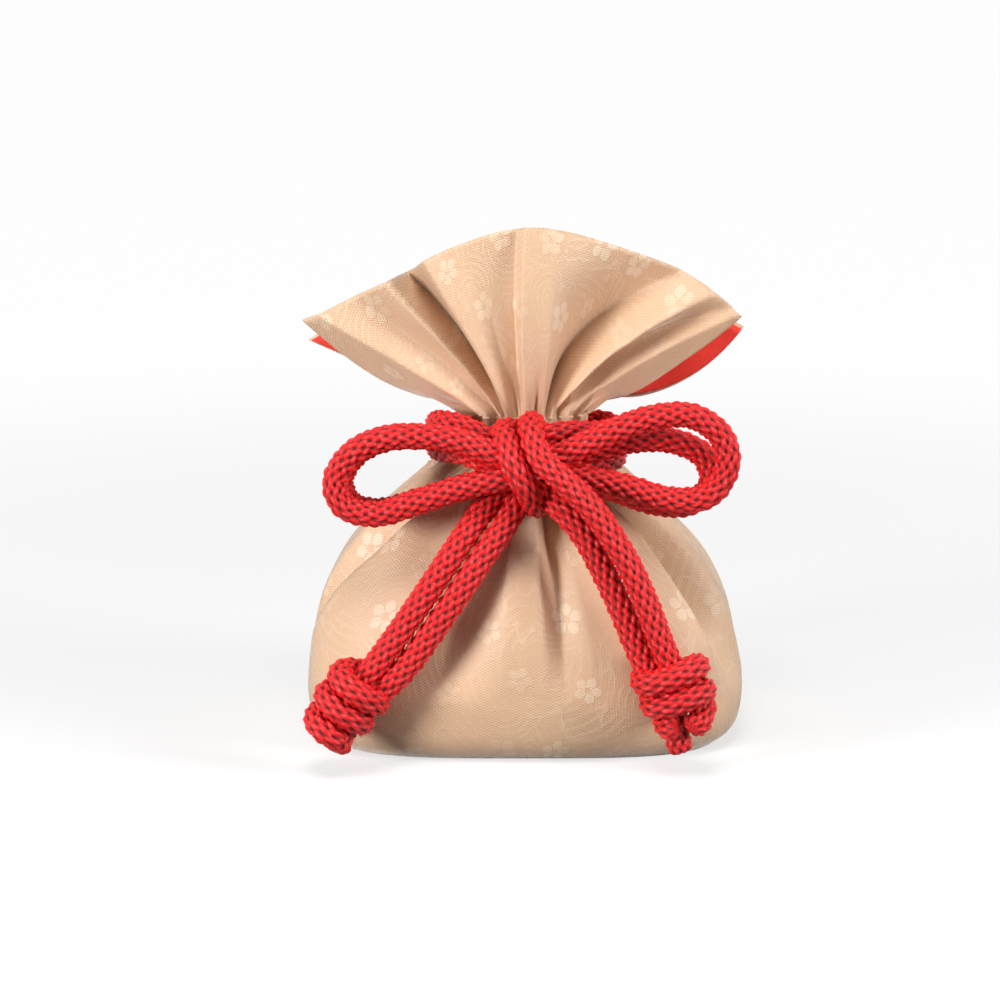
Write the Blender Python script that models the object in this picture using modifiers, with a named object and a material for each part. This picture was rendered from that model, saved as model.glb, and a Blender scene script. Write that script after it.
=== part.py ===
"""Kinchaku drawstring pouch, drawn closed and standing on its flat base.

The pouch is two sewn bags, one inside the other: a patterned outer bag and a plain lining. Above the
cord channel the front and back part into two flaps, which fan out as a ruffle. Two round braided
cords run all the way round the channel in opposite directions. Each one leaves at its own side, both
of its strands go into the bow at the front, and both end in one end knot.

Metres, +Z up, front towards -Y, origin in the middle of the base.
"""

import bmesh
import bpy
import math
import numpy as np

MM = 0.001

# Main sizes
BODY_HALF_WIDTH = 42.4
BODY_HALF_DEPTH = 31.6
BASE_HALF_WIDTH = 38.0
BASE_HALF_DEPTH = 28.0
NECK_HALF_WIDTH = 14.6
NECK_HALF_DEPTH = 12.6
NECK_TOP = 63.5
RUFFLE_HALF_WIDTH = 43.0
RUFFLE_TOP = 100.6

# Bag outline: height of each level, half width, half depth and squareness of its section
BAG_LEVELS = (
    (0.0, BASE_HALF_WIDTH, BASE_HALF_DEPTH, 3.6),
    (2.0, BODY_HALF_WIDTH - 1.8, BODY_HALF_DEPTH - 1.4, 3.5),
    (7.0, BODY_HALF_WIDTH, BODY_HALF_DEPTH, 3.4),
    (17.0, BODY_HALF_WIDTH - 0.8, BODY_HALF_DEPTH - 0.6, 3.1),
    (25.0, BODY_HALF_WIDTH - 2.6, BODY_HALF_DEPTH - 2.2, 2.8),
    (33.0, BODY_HALF_WIDTH - 6.4, BODY_HALF_DEPTH - 5.0, 2.5),
    (40.0, BODY_HALF_WIDTH - 11.8, BODY_HALF_DEPTH - 8.8, 2.3),
    (46.0, NECK_HALF_WIDTH + 10.0, NECK_HALF_DEPTH + 6.2, 2.1),
    (51.0, NECK_HALF_WIDTH + 4.0, NECK_HALF_DEPTH + 3.0, 2.0),
    (55.0, NECK_HALF_WIDTH + 0.4, NECK_HALF_DEPTH + 0.4, 2.0),
    (NECK_TOP, NECK_HALF_WIDTH, NECK_HALF_DEPTH, 2.0),
)
# The channel: stitched below and above the cords, and open at each side seam, where the cords leave
CHANNEL_BOTTOM = 51.0
CHANNEL_TOP = NECK_TOP - 1.0
SEAM_END = CHANNEL_BOTTOM - 2.5
MOUTH_HALF_WIDTH = 7.3
STITCH_STEP = 0.8

# Cloth
OUTER_THICKNESS = 0.45
LINING_THICKNESS = 0.35
CLOTH_GAP = 0.6

# Gathers: even pleats at the neck, and the few long folds that run down from them
PLEATS = 14
PLEAT_COLUMN_COUNT = 4
NECK_PLEAT_DEPTH = 0.95
LINING_NECK_PLEAT_DEPTH = 0.3
# Heights over which the folds turn from square to the cloth to level, the long folds begin and end,
# and the neck's pleats begin
LEVEL_FOLDS = (41.0, 48.0)
LONG_FOLDS_BEGIN = (16.0, 36.0)
LONG_FOLDS_END = (44.0, 54.0)
PLEATS_BEGIN = (34.0, 54.0)
# Shares of a flap's rise over which its own folds begin and the neck's pleats end
FLAP_FOLDS_BEGIN = (0.0, 0.7)
FLAP_PLEATS_END = (0.0, 0.55)
# Each fold: place across the panel from -1 at the left seam to 1 at the right, half width, depth
FRONT_BODY_FOLDS = ((-0.66, 0.15, 2.6), (-0.30, 0.12, 1.4), (0.12, 0.13, 2.4), (0.56, 0.14, 2.6))
BACK_BODY_FOLDS = ((-0.52, 0.15, 2.4), (-0.06, 0.14, 2.2), (0.42, 0.15, 2.4))
FRONT_FLAP_FOLDS = ((-0.56, 0.12, 5.0), (-0.26, 0.10, 2.6), (0.12, 0.07, 2.4), (0.42, 0.15, 5.2),
                    (0.74, 0.09, 2.2))
BACK_FLAP_FOLDS = ((-0.60, 0.14, 3.4), (-0.12, 0.14, 3.6), (0.36, 0.14, 3.6), (0.72, 0.10, 2.0))

# Flaps: the middle and upper guide curves, from the left corner to the right one
FRONT_FLAP_MIDDLE = ((-27.0, -4.0, 63.5), (-14.0, -13.0, 77.0), (-1.0, -16.0, 83.0),
                     (13.0, -13.5, 79.0), (25.0, -5.0, 66.5))
FRONT_FLAP_TOP = ((-RUFFLE_HALF_WIDTH, -5.0, 80.5), (-25.0, -9.0, 89.5), (-14.0, -11.0, 95.5),
                  (-2.0, -12.0, RUFFLE_TOP), (9.0, -11.5, RUFFLE_TOP - 1.6), (22.5, -10.0, 94.0),
                  (34.0, -8.0, 88.0), (RUFFLE_HALF_WIDTH - 1.5, -6.0, 81.5))
BACK_FLAP_MIDDLE = ((-25.0, 5.0, 67.0), (-13.0, 14.0, 76.0), (0.0, 17.0, 80.0), (13.0, 14.0, 76.0),
                    (31.0, 5.0, 61.5))
BACK_FLAP_TOP = ((0.5 - RUFFLE_HALF_WIDTH, 6.5, 75.0), (-25.0, 10.0, 85.0),
                 (0.0, 13.0, RUFFLE_TOP - 4.1), (25.0, 10.5, 87.0), (RUFFLE_HALF_WIDTH, 7.5, 77.5))

# Heights of the rows of faces below the flaps, and how many rows a flap has
OUTER_ROW_HEIGHTS = (0.0, 2.0, 7.0, 17.0, 26.0, 34.0, 41.0, 45.0, SEAM_END, CHANNEL_BOTTOM, 57.0,
                     NECK_TOP)
LINING_ROW_HEIGHTS = (0.0, 7.0, 20.0, 31.0, 41.0, 45.0, CHANNEL_BOTTOM - STITCH_STEP, CHANNEL_BOTTOM,
                      CHANNEL_TOP)
FLAP_ROW_COUNT = 5
SECTION_POINT_COUNT = 721

# Cord
CORD_DIAMETER = 5.2
CORD_GAP = 0.3
CORD_SIDES_RESOLUTION = 2
POINT_SPACING = 6.0
FINE_POINTS_A_POINT = 60

# Bow knot: the right cord's core and the left cord's two bands over it
BOW_CORE_CENTRE = (0.3, -21.8, 56.2)
BOW_CORE_HALF_SIZE = (7.8, 5.0, 8.6)
BOW_CORE_SEGMENTS = 12
BOW_CORE_RINGS = 7

# Turn in the channel, in degrees round from the cord's own side: where it begins and ends, where it
# crosses to the other cord's level, and how many points it has
CHANNEL_TURN = (42.0, 318.0)
CHANNEL_CROSSING = (155.0, 205.0)
CHANNEL_POINT_COUNT = 24

# Routes outside the channel, chosen by hand
LEFT_APPROACH_UPPER = ((-12.6, -2.2, 59.5), (-16.2, -2.6, 59.8), (-18.0, -6.4, 60.2),
                       (-17.0, -11.4, 60.6), (-14.0, -15.8, 61.4), (-9.4, -19.0, 61.0),
                       (-4.8, -20.4, 59.2))
LEFT_APPROACH_LOWER = ((-12.8, 2.2, 54.2), (-16.4, 1.4, 54.6), (-18.0, -2.6, 55.0),
                       (-17.8, -8.0, 55.2), (-15.4, -13.4, 55.4), (-11.8, -17.2, 55.4),
                       (-8.2, -19.6, 55.0), (-4.4, -20.8, 54.6))
RIGHT_APPROACH_UPPER = ((12.8, 2.2, 59.5), (16.4, 1.6, 59.6), (18.0, -2.6, 59.8), (17.8, -8.0, 60.2),
                        (15.6, -13.2, 60.8), (12.0, -16.8, 61.2), (8.2, -19.0, 61.6),
                        (4.0, -20.8, 61.4))
RIGHT_APPROACH_LOWER = ((12.6, -2.2, 54.0), (16.4, -2.8, 54.4), (18.8, -6.4, 54.6), (18.0, -11.6, 54.6),
                        (15.0, -16.0, 54.6), (10.6, -19.2, 54.6), (5.4, -20.6, 54.8))
LEFT_LOOP_FRONT = ((-4.6, -27.2, 58.4), (-12.4, -26.6, 61.2), (-18.6, -26.2, 61.8),
                   (-25.4, -26.0, 61.4), (-31.4, -26.0, 58.6), (-34.8, -26.0, 53.2),
                   (-33.0, -26.2, 48.4), (-27.0, -26.4, 47.0), (-19.6, -26.6, 49.4),
                   (-12.0, -27.0, 52.4), (-4.4, -27.4, 54.2))
LEFT_LOOP_BACK = ((-5.0, -21.0, 57.0), (-12.4, -20.6, 60.0), (-18.6, -20.4, 60.6),
                  (-25.2, -20.2, 60.2), (-31.0, -20.2, 57.4), (-34.0, -20.2, 52.4),
                  (-32.2, -20.4, 47.8), (-26.8, -20.6, 46.4), (-19.6, -20.8, 48.4),
                  (-12.6, -21.0, 50.8), (-5.4, -21.2, 52.8))
RIGHT_LOOP_OUTER = ((5.0, -25.2, 57.8), (12.0, -25.0, 60.8), (18.0, -25.0, 63.8), (24.4, -25.0, 65.9),
                    (31.2, -25.0, 66.0), (36.6, -25.0, 62.2), (37.8, -25.0, 56.4),
                    (34.4, -25.2, 51.0), (27.2, -25.4, 50.2), (18.6, -25.4, 52.6),
                    (11.6, -25.2, 53.8), (5.4, -25.0, 54.2))
RIGHT_LOOP_INNER = ((5.0, -19.6, 57.2), (13.6, -19.4, 58.8), (20.6, -19.2, 60.8),
                    (28.0, -19.2, 61.2), (34.0, -19.2, 58.2), (35.4, -19.3, 52.8),
                    (31.2, -19.5, 49.2), (24.6, -19.6, 49.4), (17.0, -19.6, 51.4),
                    (11.0, -19.6, 52.6), (5.4, -19.8, 53.4))
LEFT_BAND = ((-4.4, -20.0, 63.6), (-4.2, -26.4, 62.0), (-2.6, -29.4, 57.8), (0.0, -29.4, 52.8),
             (1.8, -25.4, 48.8), (2.4, -21.6, 48.6))
RIGHT_TAIL_FRONT = ((0.8, -19.8, 65.4), (0.8, -26.2, 63.8), (2.8, -30.0, 59.4), (6.8, -32.0, 55.3),
                    (11.2, -33.6, 50.8), (15.0, -34.6, 45.2), (18.4, -35.4, 39.2),
                    (22.0, -36.2, 32.0), (25.2, -36.6, 24.6), (28.4, -36.8, 17.6),
                    (32.6, -37.0, 10.6), (35.6, -37.2, 6.4))
RIGHT_TAIL_BACK = ((3.0, -24.0, 50.8), (7.4, -28.6, 48.6), (11.0, -30.2, 44.6), (14.4, -31.0, 38.6),
                   (17.4, -32.0, 32.0), (20.4, -33.4, 25.2), (23.4, -34.8, 18.6),
                   (26.2, -36.2, 12.0), (28.4, -37.0, 4.8))
LEFT_TAIL_OUTER = ((-3.0, -22.0, 52.0), (-7.6, -24.6, 47.6), (-11.6, -28.4, 42.0), (-16.2, -30.8, 35.0),
                   (-21.6, -32.6, 27.0), (-27.0, -34.4, 19.6), (-32.0, -35.6, 13.6),
                   (-36.6, -36.0, 7.6), (-38.4, -36.0, 4.2))
LEFT_TAIL_INNER = ((-0.6, -22.0, 50.6), (-3.2, -25.6, 45.8), (-6.4, -28.6, 40.4), (-11.0, -31.2, 33.0),
                   (-16.4, -32.8, 24.8), (-22.0, -34.2, 17.4), (-27.6, -35.4, 11.4),
                   (-32.0, -36.0, 6.6), (-34.4, -36.2, 3.4))

# End knots: centre, direction of the wrapped cords, half widths of the wraps' centreline
RIGHT_END_KNOT = ((28.0, -36.8, 13.4), (0.45, 0.0, -0.89))
LEFT_END_KNOT = ((-31.8, -35.8, 11.8), (-0.62, 0.0, -0.78))
WRAP_HALF_WIDTH = 6.6
WRAP_HALF_DEPTH = 4.2
WRAP_TURN_COUNT = 2
WRAP_POINT_COUNT = 24

COLOURS = {
    "outer_bag": ((0.73, 0.56, 0.40), 0.55),
    "lining_bag": ((0.72, 0.06, 0.03), 0.60),
    "left_drawcord": ((0.60, 0.02, 0.03), 0.60),
    "right_drawcord": ((0.55, 0.02, 0.03), 0.60),
}


def clear_scene():
    for scene_object in list(bpy.data.objects):
        bpy.data.objects.remove(scene_object, do_unlink=True)


def new_collection(name):
    collection = bpy.data.collections.new(name)
    bpy.context.scene.collection.children.link(collection)
    return collection


def new_material(name):
    colour, roughness = COLOURS[name]
    material = bpy.data.materials.new(name)
    material.use_nodes = True
    shader = material.node_tree.nodes["Principled BSDF"]
    shader.inputs["Base Color"].default_value = (*colour, 1.0)
    shader.inputs["Roughness"].default_value = roughness
    shader.inputs["Metallic"].default_value = 0.0
    material.diffuse_color = (*colour, 1.0)
    return material


def smooth_curve(points, places):
    """Read a smooth curve (cubic Hermite, Catmull-Rom slopes) through points at places from 0 to 1."""
    points = np.asarray(points, float)
    lengths = np.linalg.norm(np.diff(points, axis=0), axis=1)
    knots = np.concatenate(([0.0], np.cumsum(lengths)))
    knots /= knots[-1]
    slopes = np.empty_like(points)
    slopes[1:-1] = (points[2:] - points[:-2]) / (knots[2:] - knots[:-2])[:, None]
    slopes[0] = (points[1] - points[0]) / (knots[1] - knots[0])
    slopes[-1] = (points[-1] - points[-2]) / (knots[-1] - knots[-2])
    places = np.asarray(places, float)
    span = np.clip(np.searchsorted(knots, places, side="right") - 1, 0, len(knots) - 2)
    width = (knots[span + 1] - knots[span])[:, None]
    t = (places[:, None] - knots[span][:, None]) / width
    start, end = points[span], points[span + 1]
    return ((2 * t**3 - 3 * t**2 + 1) * start + (t**3 - 2 * t**2 + t) * width * slopes[span]
            + (3 * t**2 - 2 * t**3) * end + (t**3 - t**2) * width * slopes[span + 1])


def even_route(points, spacing):
    """Points an even distance apart along the smooth curve through the route's own points."""
    fine = smooth_curve(points, np.linspace(0.0, 1.0, FINE_POINTS_A_POINT * len(points)))
    run = np.concatenate(([0.0], np.cumsum(np.linalg.norm(np.diff(fine, axis=0), axis=1))))
    count = max(3, int(round(run[-1] / spacing)) + 1)
    wanted = np.linspace(0.0, run[-1], count)
    return np.stack([np.interp(wanted, run, fine[:, axis]) for axis in range(3)], axis=1)


def unit(vectors):
    """The same directions, each one unit long."""
    return vectors / np.linalg.norm(vectors, axis=-1, keepdims=True)


def fade(value, start, end):
    """Smooth step from 0 at start to 1 at end."""
    t = np.clip((value - start) / (end - start), 0.0, 1.0)
    return t * t * (3.0 - 2.0 * t)


def section(height, places):
    """Outline of the bag at a height, read at places from -1 (left seam) over the front (0) to 1.

    A superellipse, with its points an even share of the half perimeter apart.
    """
    levels = np.asarray(BAG_LEVELS)
    half_width, half_depth, power = (np.interp(height, levels[:, 0], levels[:, i]) for i in (1, 2, 3))
    angle = np.linspace(-math.pi / 2, math.pi / 2, SECTION_POINT_COUNT)
    x = half_width * np.sign(np.sin(angle)) * np.abs(np.sin(angle)) ** (2.0 / power)
    y = -half_depth * np.abs(np.cos(angle)) ** (2.0 / power)
    run = np.concatenate(([0.0], np.cumsum(np.hypot(np.diff(x), np.diff(y)))))
    share = 2.0 * run / run[-1] - 1.0
    return np.interp(places, share, x), np.interp(places, share, y)


def fold_depth(places, folds):
    """Inward depth of a panel's folds, each one a smooth valley across the panel."""
    depth = np.zeros_like(places)
    for place, half_width, deep in folds:
        depth += deep * np.exp(-((places - place) / half_width) ** 2)
    return depth


def mouth_share():
    """Part of a panel's half width that the open side seam takes at the neck."""
    x, y = section(CHANNEL_TOP, np.linspace(0.0, 1.0, 200))
    return MOUTH_HALF_WIDTH / np.sum(np.hypot(np.diff(x), np.diff(y)))


def neck_pleats(places):
    """Even pleats round the neck, 1 on a ridge and -1 in a valley."""
    return np.cos(math.pi * places * PLEATS / 2.0)


def flap_section(share, places, neck, middle, top):
    """Row of a flap: a quadratic Bezier curve from the neck over the middle guide to the top edge."""
    across = (places + 1.0) / 2.0
    middle_row = smooth_curve(middle, across)
    top_row = smooth_curve(top, across)
    return (1 - share) ** 2 * neck + 2 * share * (1 - share) * middle_row + share**2 * top_row


def panel_rows(side, inset, body_heights, split_height, flap_rows, pleat_depth):
    """Rows of one panel, front (-1) or back (1), as an array of rows by columns by 3.

    Every layer of cloth is the same smooth surface, moved inwards by its inset and folded along
    the smooth surface's own normal, so the layers never cross.
    """
    columns = PLEATS * PLEAT_COLUMN_COUNT // 2
    places = np.linspace(-1.0, 1.0, columns + 1)
    folds = FRONT_BODY_FOLDS if side < 0 else BACK_BODY_FOLDS
    flap_folds = FRONT_FLAP_FOLDS if side < 0 else BACK_FLAP_FOLDS
    middle, top = (FRONT_FLAP_MIDDLE, FRONT_FLAP_TOP) if side < 0 else (BACK_FLAP_MIDDLE, BACK_FLAP_TOP)
    smooth_rows = []
    moves = []
    for height in body_heights:
        reach = 1.0 - mouth_share() if height > split_height else 1.0
        x, y = section(height, places * reach)
        smooth_rows.append(np.stack([x, y * -side, np.full_like(x, height)], axis=1))
        long_folds = fold_depth(places, folds) * fade(height, *LONG_FOLDS_BEGIN)
        long_folds *= 1.0 - fade(height, *LONG_FOLDS_END)
        pleats = neck_pleats(places) * fade(height, *PLEATS_BEGIN)
        moves.append((long_folds, pleats, height))
    neck = smooth_rows[-1]
    for share in np.linspace(0.0, 1.0, flap_rows + 1)[1:]:
        smooth_rows.append(flap_section(share, places, neck, middle, top))
        long_folds = fold_depth(places, flap_folds) * fade(share, *FLAP_FOLDS_BEGIN)
        pleats = neck_pleats(places) * (1.0 - fade(share, *FLAP_PLEATS_END))
        moves.append((long_folds, pleats, NECK_TOP + share))
    surface = np.array(smooth_rows)
    along = np.gradient(surface, axis=0)
    across = np.gradient(surface, axis=1)
    normal = unit(np.cross(across, along))
    level_normal = unit(np.cross(across, (0.0, 0.0, 1.0)))
    for row, height in enumerate(body_heights):
        level_share = fade(height, *LEVEL_FOLDS)
        normal[row] = unit(normal[row] * (1.0 - level_share) + level_normal[row] * level_share)
    normal *= -side
    result = np.empty_like(surface)
    for row, (long_folds, pleats, height) in enumerate(moves):
        distance = pleats * pleat_depth(height) - long_folds - inset(height)
        result[row] = surface[row] + normal[row] * distance[:, None]
    return result


def bag_mesh(name, inset, body_heights, split_height, flap_rows, pleat_depth, base_height):
    """One layer of the pouch as an open surface: a base, a tube, and a front and a back flap."""
    front = panel_rows(-1, inset, body_heights, split_height, flap_rows, pleat_depth)
    back = panel_rows(1, inset, body_heights, split_height, flap_rows, pleat_depth)
    back = back[:, ::-1]
    front[0, :, 2] = base_height
    back[0, :, 2] = base_height
    tube_rows = sum(1 for height in body_heights if height <= split_height)
    columns = front.shape[1] - 1
    mesh = bmesh.new()
    panels = []
    seam = []
    for row in range(tube_rows):
        left = (front[row, 0] + back[row, -1]) / 2.0
        right = (front[row, -1] + back[row, 0]) / 2.0
        seam.append((mesh.verts.new(left * MM), mesh.verts.new(right * MM)))
    for grid, first, last in ((front, 0, 1), (back, 1, 0)):
        rows = []
        for row in range(len(grid)):
            line = [mesh.verts.new(point * MM) for point in grid[row, 1:-1]]
            if row < tube_rows:
                line = [seam[row][first]] + line + [seam[row][last]]
            else:
                line = [mesh.verts.new(grid[row, 0] * MM)] + line + [mesh.verts.new(grid[row, -1] * MM)]
            rows.append(line)
        panels.append(rows)
        for lower, upper in zip(rows[:-1], rows[1:]):
            for column in range(columns):
                mesh.faces.new((lower[column], lower[column + 1], upper[column + 1], upper[column]))
    base = panels[0][0] + panels[1][0][1:-1]
    mesh.faces.new(base[::-1])
    bmesh.ops.triangulate(mesh, faces=[face for face in mesh.faces if len(face.verts) > 4])
    data = bpy.data.meshes.new(name)
    mesh.to_mesh(data)
    mesh.free()
    data.shade_smooth()
    return data


def add_cloth(name, data, thickness, collection):
    """Give an open surface its wall, inwards from the surface."""
    cloth = bpy.data.objects.new(name, data)
    collection.objects.link(cloth)
    data.materials.append(new_material(name))
    wall = cloth.modifiers.new("cloth_thickness", "SOLIDIFY")
    wall.thickness = thickness * MM
    wall.offset = -1.0
    return cloth


def build_outer_bag(collection):
    def inset(height):
        return 0.0

    def pleat_depth(height):
        return NECK_PLEAT_DEPTH

    data = bag_mesh("outer_bag", inset, OUTER_ROW_HEIGHTS, SEAM_END, FLAP_ROW_COUNT, pleat_depth, 0.0)
    return add_cloth("outer_bag", data, OUTER_THICKNESS, collection)


def build_lining_bag(collection):
    """The lining: beside the outer bag, but behind the cords between the channel's two stitch lines."""
    beside_outer = OUTER_THICKNESS + CLOTH_GAP
    behind_cords = (NECK_PLEAT_DEPTH + OUTER_THICKNESS + CORD_GAP + CORD_DIAMETER + CORD_GAP
                    + LINING_NECK_PLEAT_DEPTH)
    behind_pleats = beside_outer + NECK_PLEAT_DEPTH + LINING_NECK_PLEAT_DEPTH + STITCH_STEP
    levels = np.asarray(BAG_LEVELS)
    lower_stitches = CHANNEL_BOTTOM - STITCH_STEP

    def inset(height):
        if CHANNEL_BOTTOM <= height <= CHANNEL_TOP:
            wider_than_neck = np.interp(height, levels[:, 0], levels[:, 1]) - NECK_HALF_WIDTH
            return behind_cords + wider_than_neck
        return behind_pleats if height == lower_stitches else beside_outer

    def pleat_depth(height):
        return LINING_NECK_PLEAT_DEPTH if lower_stitches <= height <= CHANNEL_TOP else NECK_PLEAT_DEPTH

    heights = (*LINING_ROW_HEIGHTS, NECK_TOP + beside_outer)
    data = bag_mesh("lining_bag", inset, heights, CHANNEL_TOP, FLAP_ROW_COUNT, pleat_depth, beside_outer)
    return add_cloth("lining_bag", data, LINING_THICKNESS, collection)


def lengthen(points, extra):
    """The same route, longer by extra at both ends."""
    start = points[0] + extra * (points[0] - points[1]) / np.linalg.norm(points[0] - points[1])
    end = points[-1] + extra * (points[-1] - points[-2]) / np.linalg.norm(points[-1] - points[-2])
    return np.concatenate(([start], points[1:-1], [end]))


def add_tube(name, points, diameter, collection):
    """A cord's stretch: a curve with a round bevel and filled caps, made a closed mesh."""
    curve = bpy.data.curves.new(name, "CURVE")
    curve.dimensions = "3D"
    curve.bevel_depth = diameter * MM / 2.0
    curve.bevel_resolution = CORD_SIDES_RESOLUTION
    curve.use_fill_caps = True
    spline = curve.splines.new("POLY")
    spline.points.add(len(points) - 1)
    for point, place in zip(spline.points, points):
        point.co = (*(place * MM), 1.0)
    guide = bpy.data.objects.new(name + "_curve", curve)
    collection.objects.link(guide)
    bpy.context.view_layer.update()
    evaluated = guide.evaluated_get(bpy.context.evaluated_depsgraph_get())
    data = bpy.data.meshes.new_from_object(evaluated)
    mesh = bmesh.new()
    mesh.from_mesh(data)
    bmesh.ops.remove_doubles(mesh, verts=mesh.verts, dist=0.00002)
    bmesh.ops.recalc_face_normals(mesh, faces=mesh.faces)
    mesh.to_mesh(data)
    mesh.free()
    data.shade_smooth()
    tube = bpy.data.objects.new(name, data)
    collection.objects.link(tube)
    tube.matrix_world = guide.matrix_world
    bpy.data.objects.remove(guide, do_unlink=True)
    return tube


def channel_route(exit_side):
    """Turn of a cord in the channel: level with one tunnel, then across to the other's level.

    The left cord runs high through the front and low through the back, the right cord the other
    way about, so each passes inside the other where that one leaves the channel.
    """
    depth_in = NECK_PLEAT_DEPTH + OUTER_THICKNESS + CORD_GAP + CORD_DIAMETER / 2.0
    half_width = NECK_HALF_WIDTH - depth_in
    half_depth = NECK_HALF_DEPTH - depth_in
    level = (CHANNEL_BOTTOM + CHANNEL_TOP) / 2.0
    step = (CORD_DIAMETER + CORD_GAP) / 2.0
    turn = np.linspace(*CHANNEL_TURN, CHANNEL_POINT_COUNT)
    rise = 1.0 - 2.0 * fade(turn, *CHANNEL_CROSSING)
    angle = np.radians(turn)
    x = half_width * np.cos(angle)
    y = -half_depth * np.sin(angle)
    points = np.stack([x, y, level + step * rise], axis=1)
    if exit_side < 0:
        points[:, 0] *= -1.0
    else:
        points[:, 2] = level - step * rise
    return points


def end_wraps(centre, direction, diameter):
    """Turns of an end knot: a flattened helix round the two cords that run through it."""
    axis = np.asarray(direction, float)
    axis /= np.linalg.norm(axis)
    depth = np.array((0.0, 1.0, 0.0))
    across = np.cross(depth, axis)
    turn = np.linspace(0.0, 2.0 * math.pi * WRAP_TURN_COUNT, WRAP_POINT_COUNT + 1)
    pitch = diameter + CORD_GAP
    travel = (turn / (2.0 * math.pi) - WRAP_TURN_COUNT / 2.0) * pitch
    return (np.asarray(centre) + np.outer(travel, axis)
            + np.outer(WRAP_HALF_WIDTH * np.sin(turn), across)
            + np.outer(WRAP_HALF_DEPTH * np.cos(turn), depth))


def drawcord_stretches(side):
    """Every stretch of one cord, each overlapping the next inside a knot."""
    if side < 0:
        free = {"loop_front": LEFT_LOOP_FRONT, "loop_back": LEFT_LOOP_BACK, "band": LEFT_BAND,
                "tail_front": RIGHT_TAIL_FRONT, "tail_back": RIGHT_TAIL_BACK}
        upper, lower, knot = LEFT_APPROACH_UPPER, LEFT_APPROACH_LOWER, RIGHT_END_KNOT
        held = (*upper[::-1], *channel_route(side), *lower)
    else:
        free = {"loop_outer": RIGHT_LOOP_OUTER, "loop_inner": RIGHT_LOOP_INNER,
                "tail_outer": LEFT_TAIL_OUTER, "tail_inner": LEFT_TAIL_INNER}
        upper, lower, knot = RIGHT_APPROACH_UPPER, RIGHT_APPROACH_LOWER, LEFT_END_KNOT
        held = (*lower[::-1], *channel_route(side), *upper)
    stretches = {"in_channel": even_route(held, POINT_SPACING)}
    for name, points in free.items():
        stretches[name] = even_route(points, POINT_SPACING)
    stretches["end_wraps"] = end_wraps(*knot, CORD_DIAMETER)
    return stretches


def hide_as_cutter(cutter):
    cutter.hide_render = True
    cutter.display_type = "WIRE"


def add_bow_core(collection):
    """The right cord's turns inside the bow, as the outer shape that they fill."""
    data = bpy.data.meshes.new("bow_core")
    mesh = bmesh.new()
    bmesh.ops.create_uvsphere(mesh, u_segments=BOW_CORE_SEGMENTS, v_segments=BOW_CORE_RINGS, radius=MM)
    bmesh.ops.scale(mesh, vec=BOW_CORE_HALF_SIZE, verts=mesh.verts)
    bmesh.ops.translate(mesh, vec=np.asarray(BOW_CORE_CENTRE) * MM, verts=mesh.verts)
    mesh.to_mesh(data)
    mesh.free()
    core = bpy.data.objects.new("bow_core", data)
    collection.objects.link(core)
    return core


def boolean(target, cutters, operation):
    for cutter in cutters.objects:
        hide_as_cutter(cutter)
    step = target.modifiers.new(f"{operation.lower()}_{cutters.name}", "BOOLEAN")
    step.operation = operation
    step.operand_type = "COLLECTION"
    step.collection = cutters
    step.solver = "EXACT"


def build_drawcords(parts):
    cords = {}
    for side, name in ((-1, "left_drawcord"), (1, "right_drawcord")):
        stretches = drawcord_stretches(side)
        cord = add_tube(name, stretches.pop("in_channel"), CORD_DIAMETER, parts)
        cord.data.materials.append(new_material(name))
        joined = new_collection(f"{name}_stretches")
        for stretch, points in stretches.items():
            add_tube(f"{name}_{stretch}", points, CORD_DIAMETER, joined)
        if side > 0:
            add_bow_core(joined)
        boolean(cord, joined, "UNION")
        cords[name] = cord
    clearance = new_collection("left_drawcord_clearance")
    for stretch, points in drawcord_stretches(-1).items():
        add_tube(f"left_clearance_{stretch}", lengthen(points, CORD_GAP), CORD_DIAMETER + 2.0 * CORD_GAP,
                 clearance)
    boolean(cords["right_drawcord"], clearance, "DIFFERENCE")


def main():
    clear_scene()
    parts = new_collection("kinchaku_pouch")
    build_outer_bag(parts)
    build_lining_bag(parts)
    build_drawcords(parts)


main()
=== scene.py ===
"""Kinchaku drawstring pouch: its cloth, cords and end knots, built over the fixed model.

Metres, +Z up, front towards -Y, origin in the middle of the base. Guide curves are kept in
millimetres, as in the pouch's own source, and are scaled once when a mesh is made.
"""

import math
from collections import namedtuple

import bmesh
import bpy
import numpy as np
from bpy.props import FloatProperty, FloatVectorProperty, IntProperty, PointerProperty
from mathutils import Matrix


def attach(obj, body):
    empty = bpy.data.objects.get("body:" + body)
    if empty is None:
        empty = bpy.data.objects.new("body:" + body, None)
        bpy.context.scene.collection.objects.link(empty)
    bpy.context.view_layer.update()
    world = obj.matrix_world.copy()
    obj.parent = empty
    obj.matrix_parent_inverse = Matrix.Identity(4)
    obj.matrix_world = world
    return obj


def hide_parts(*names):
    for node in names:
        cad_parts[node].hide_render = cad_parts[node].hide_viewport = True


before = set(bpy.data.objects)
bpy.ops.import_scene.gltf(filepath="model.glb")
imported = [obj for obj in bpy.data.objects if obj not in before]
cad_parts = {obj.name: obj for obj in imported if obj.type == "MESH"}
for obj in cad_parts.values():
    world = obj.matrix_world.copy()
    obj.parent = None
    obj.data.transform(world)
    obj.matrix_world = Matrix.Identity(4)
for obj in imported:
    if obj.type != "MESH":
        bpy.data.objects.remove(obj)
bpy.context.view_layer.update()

bl_info = {
    "name": "Kinchaku Pouch",
    "version": (1, 0, 0),
    "blender": (4, 5, 0),
    "location": "3D View > Sidebar > Kinchaku",
    "description": "Builds the cloth, the cords and the stage of a kinchaku drawstring pouch",
    "category": "Object",
}

MM = 0.001

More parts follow.
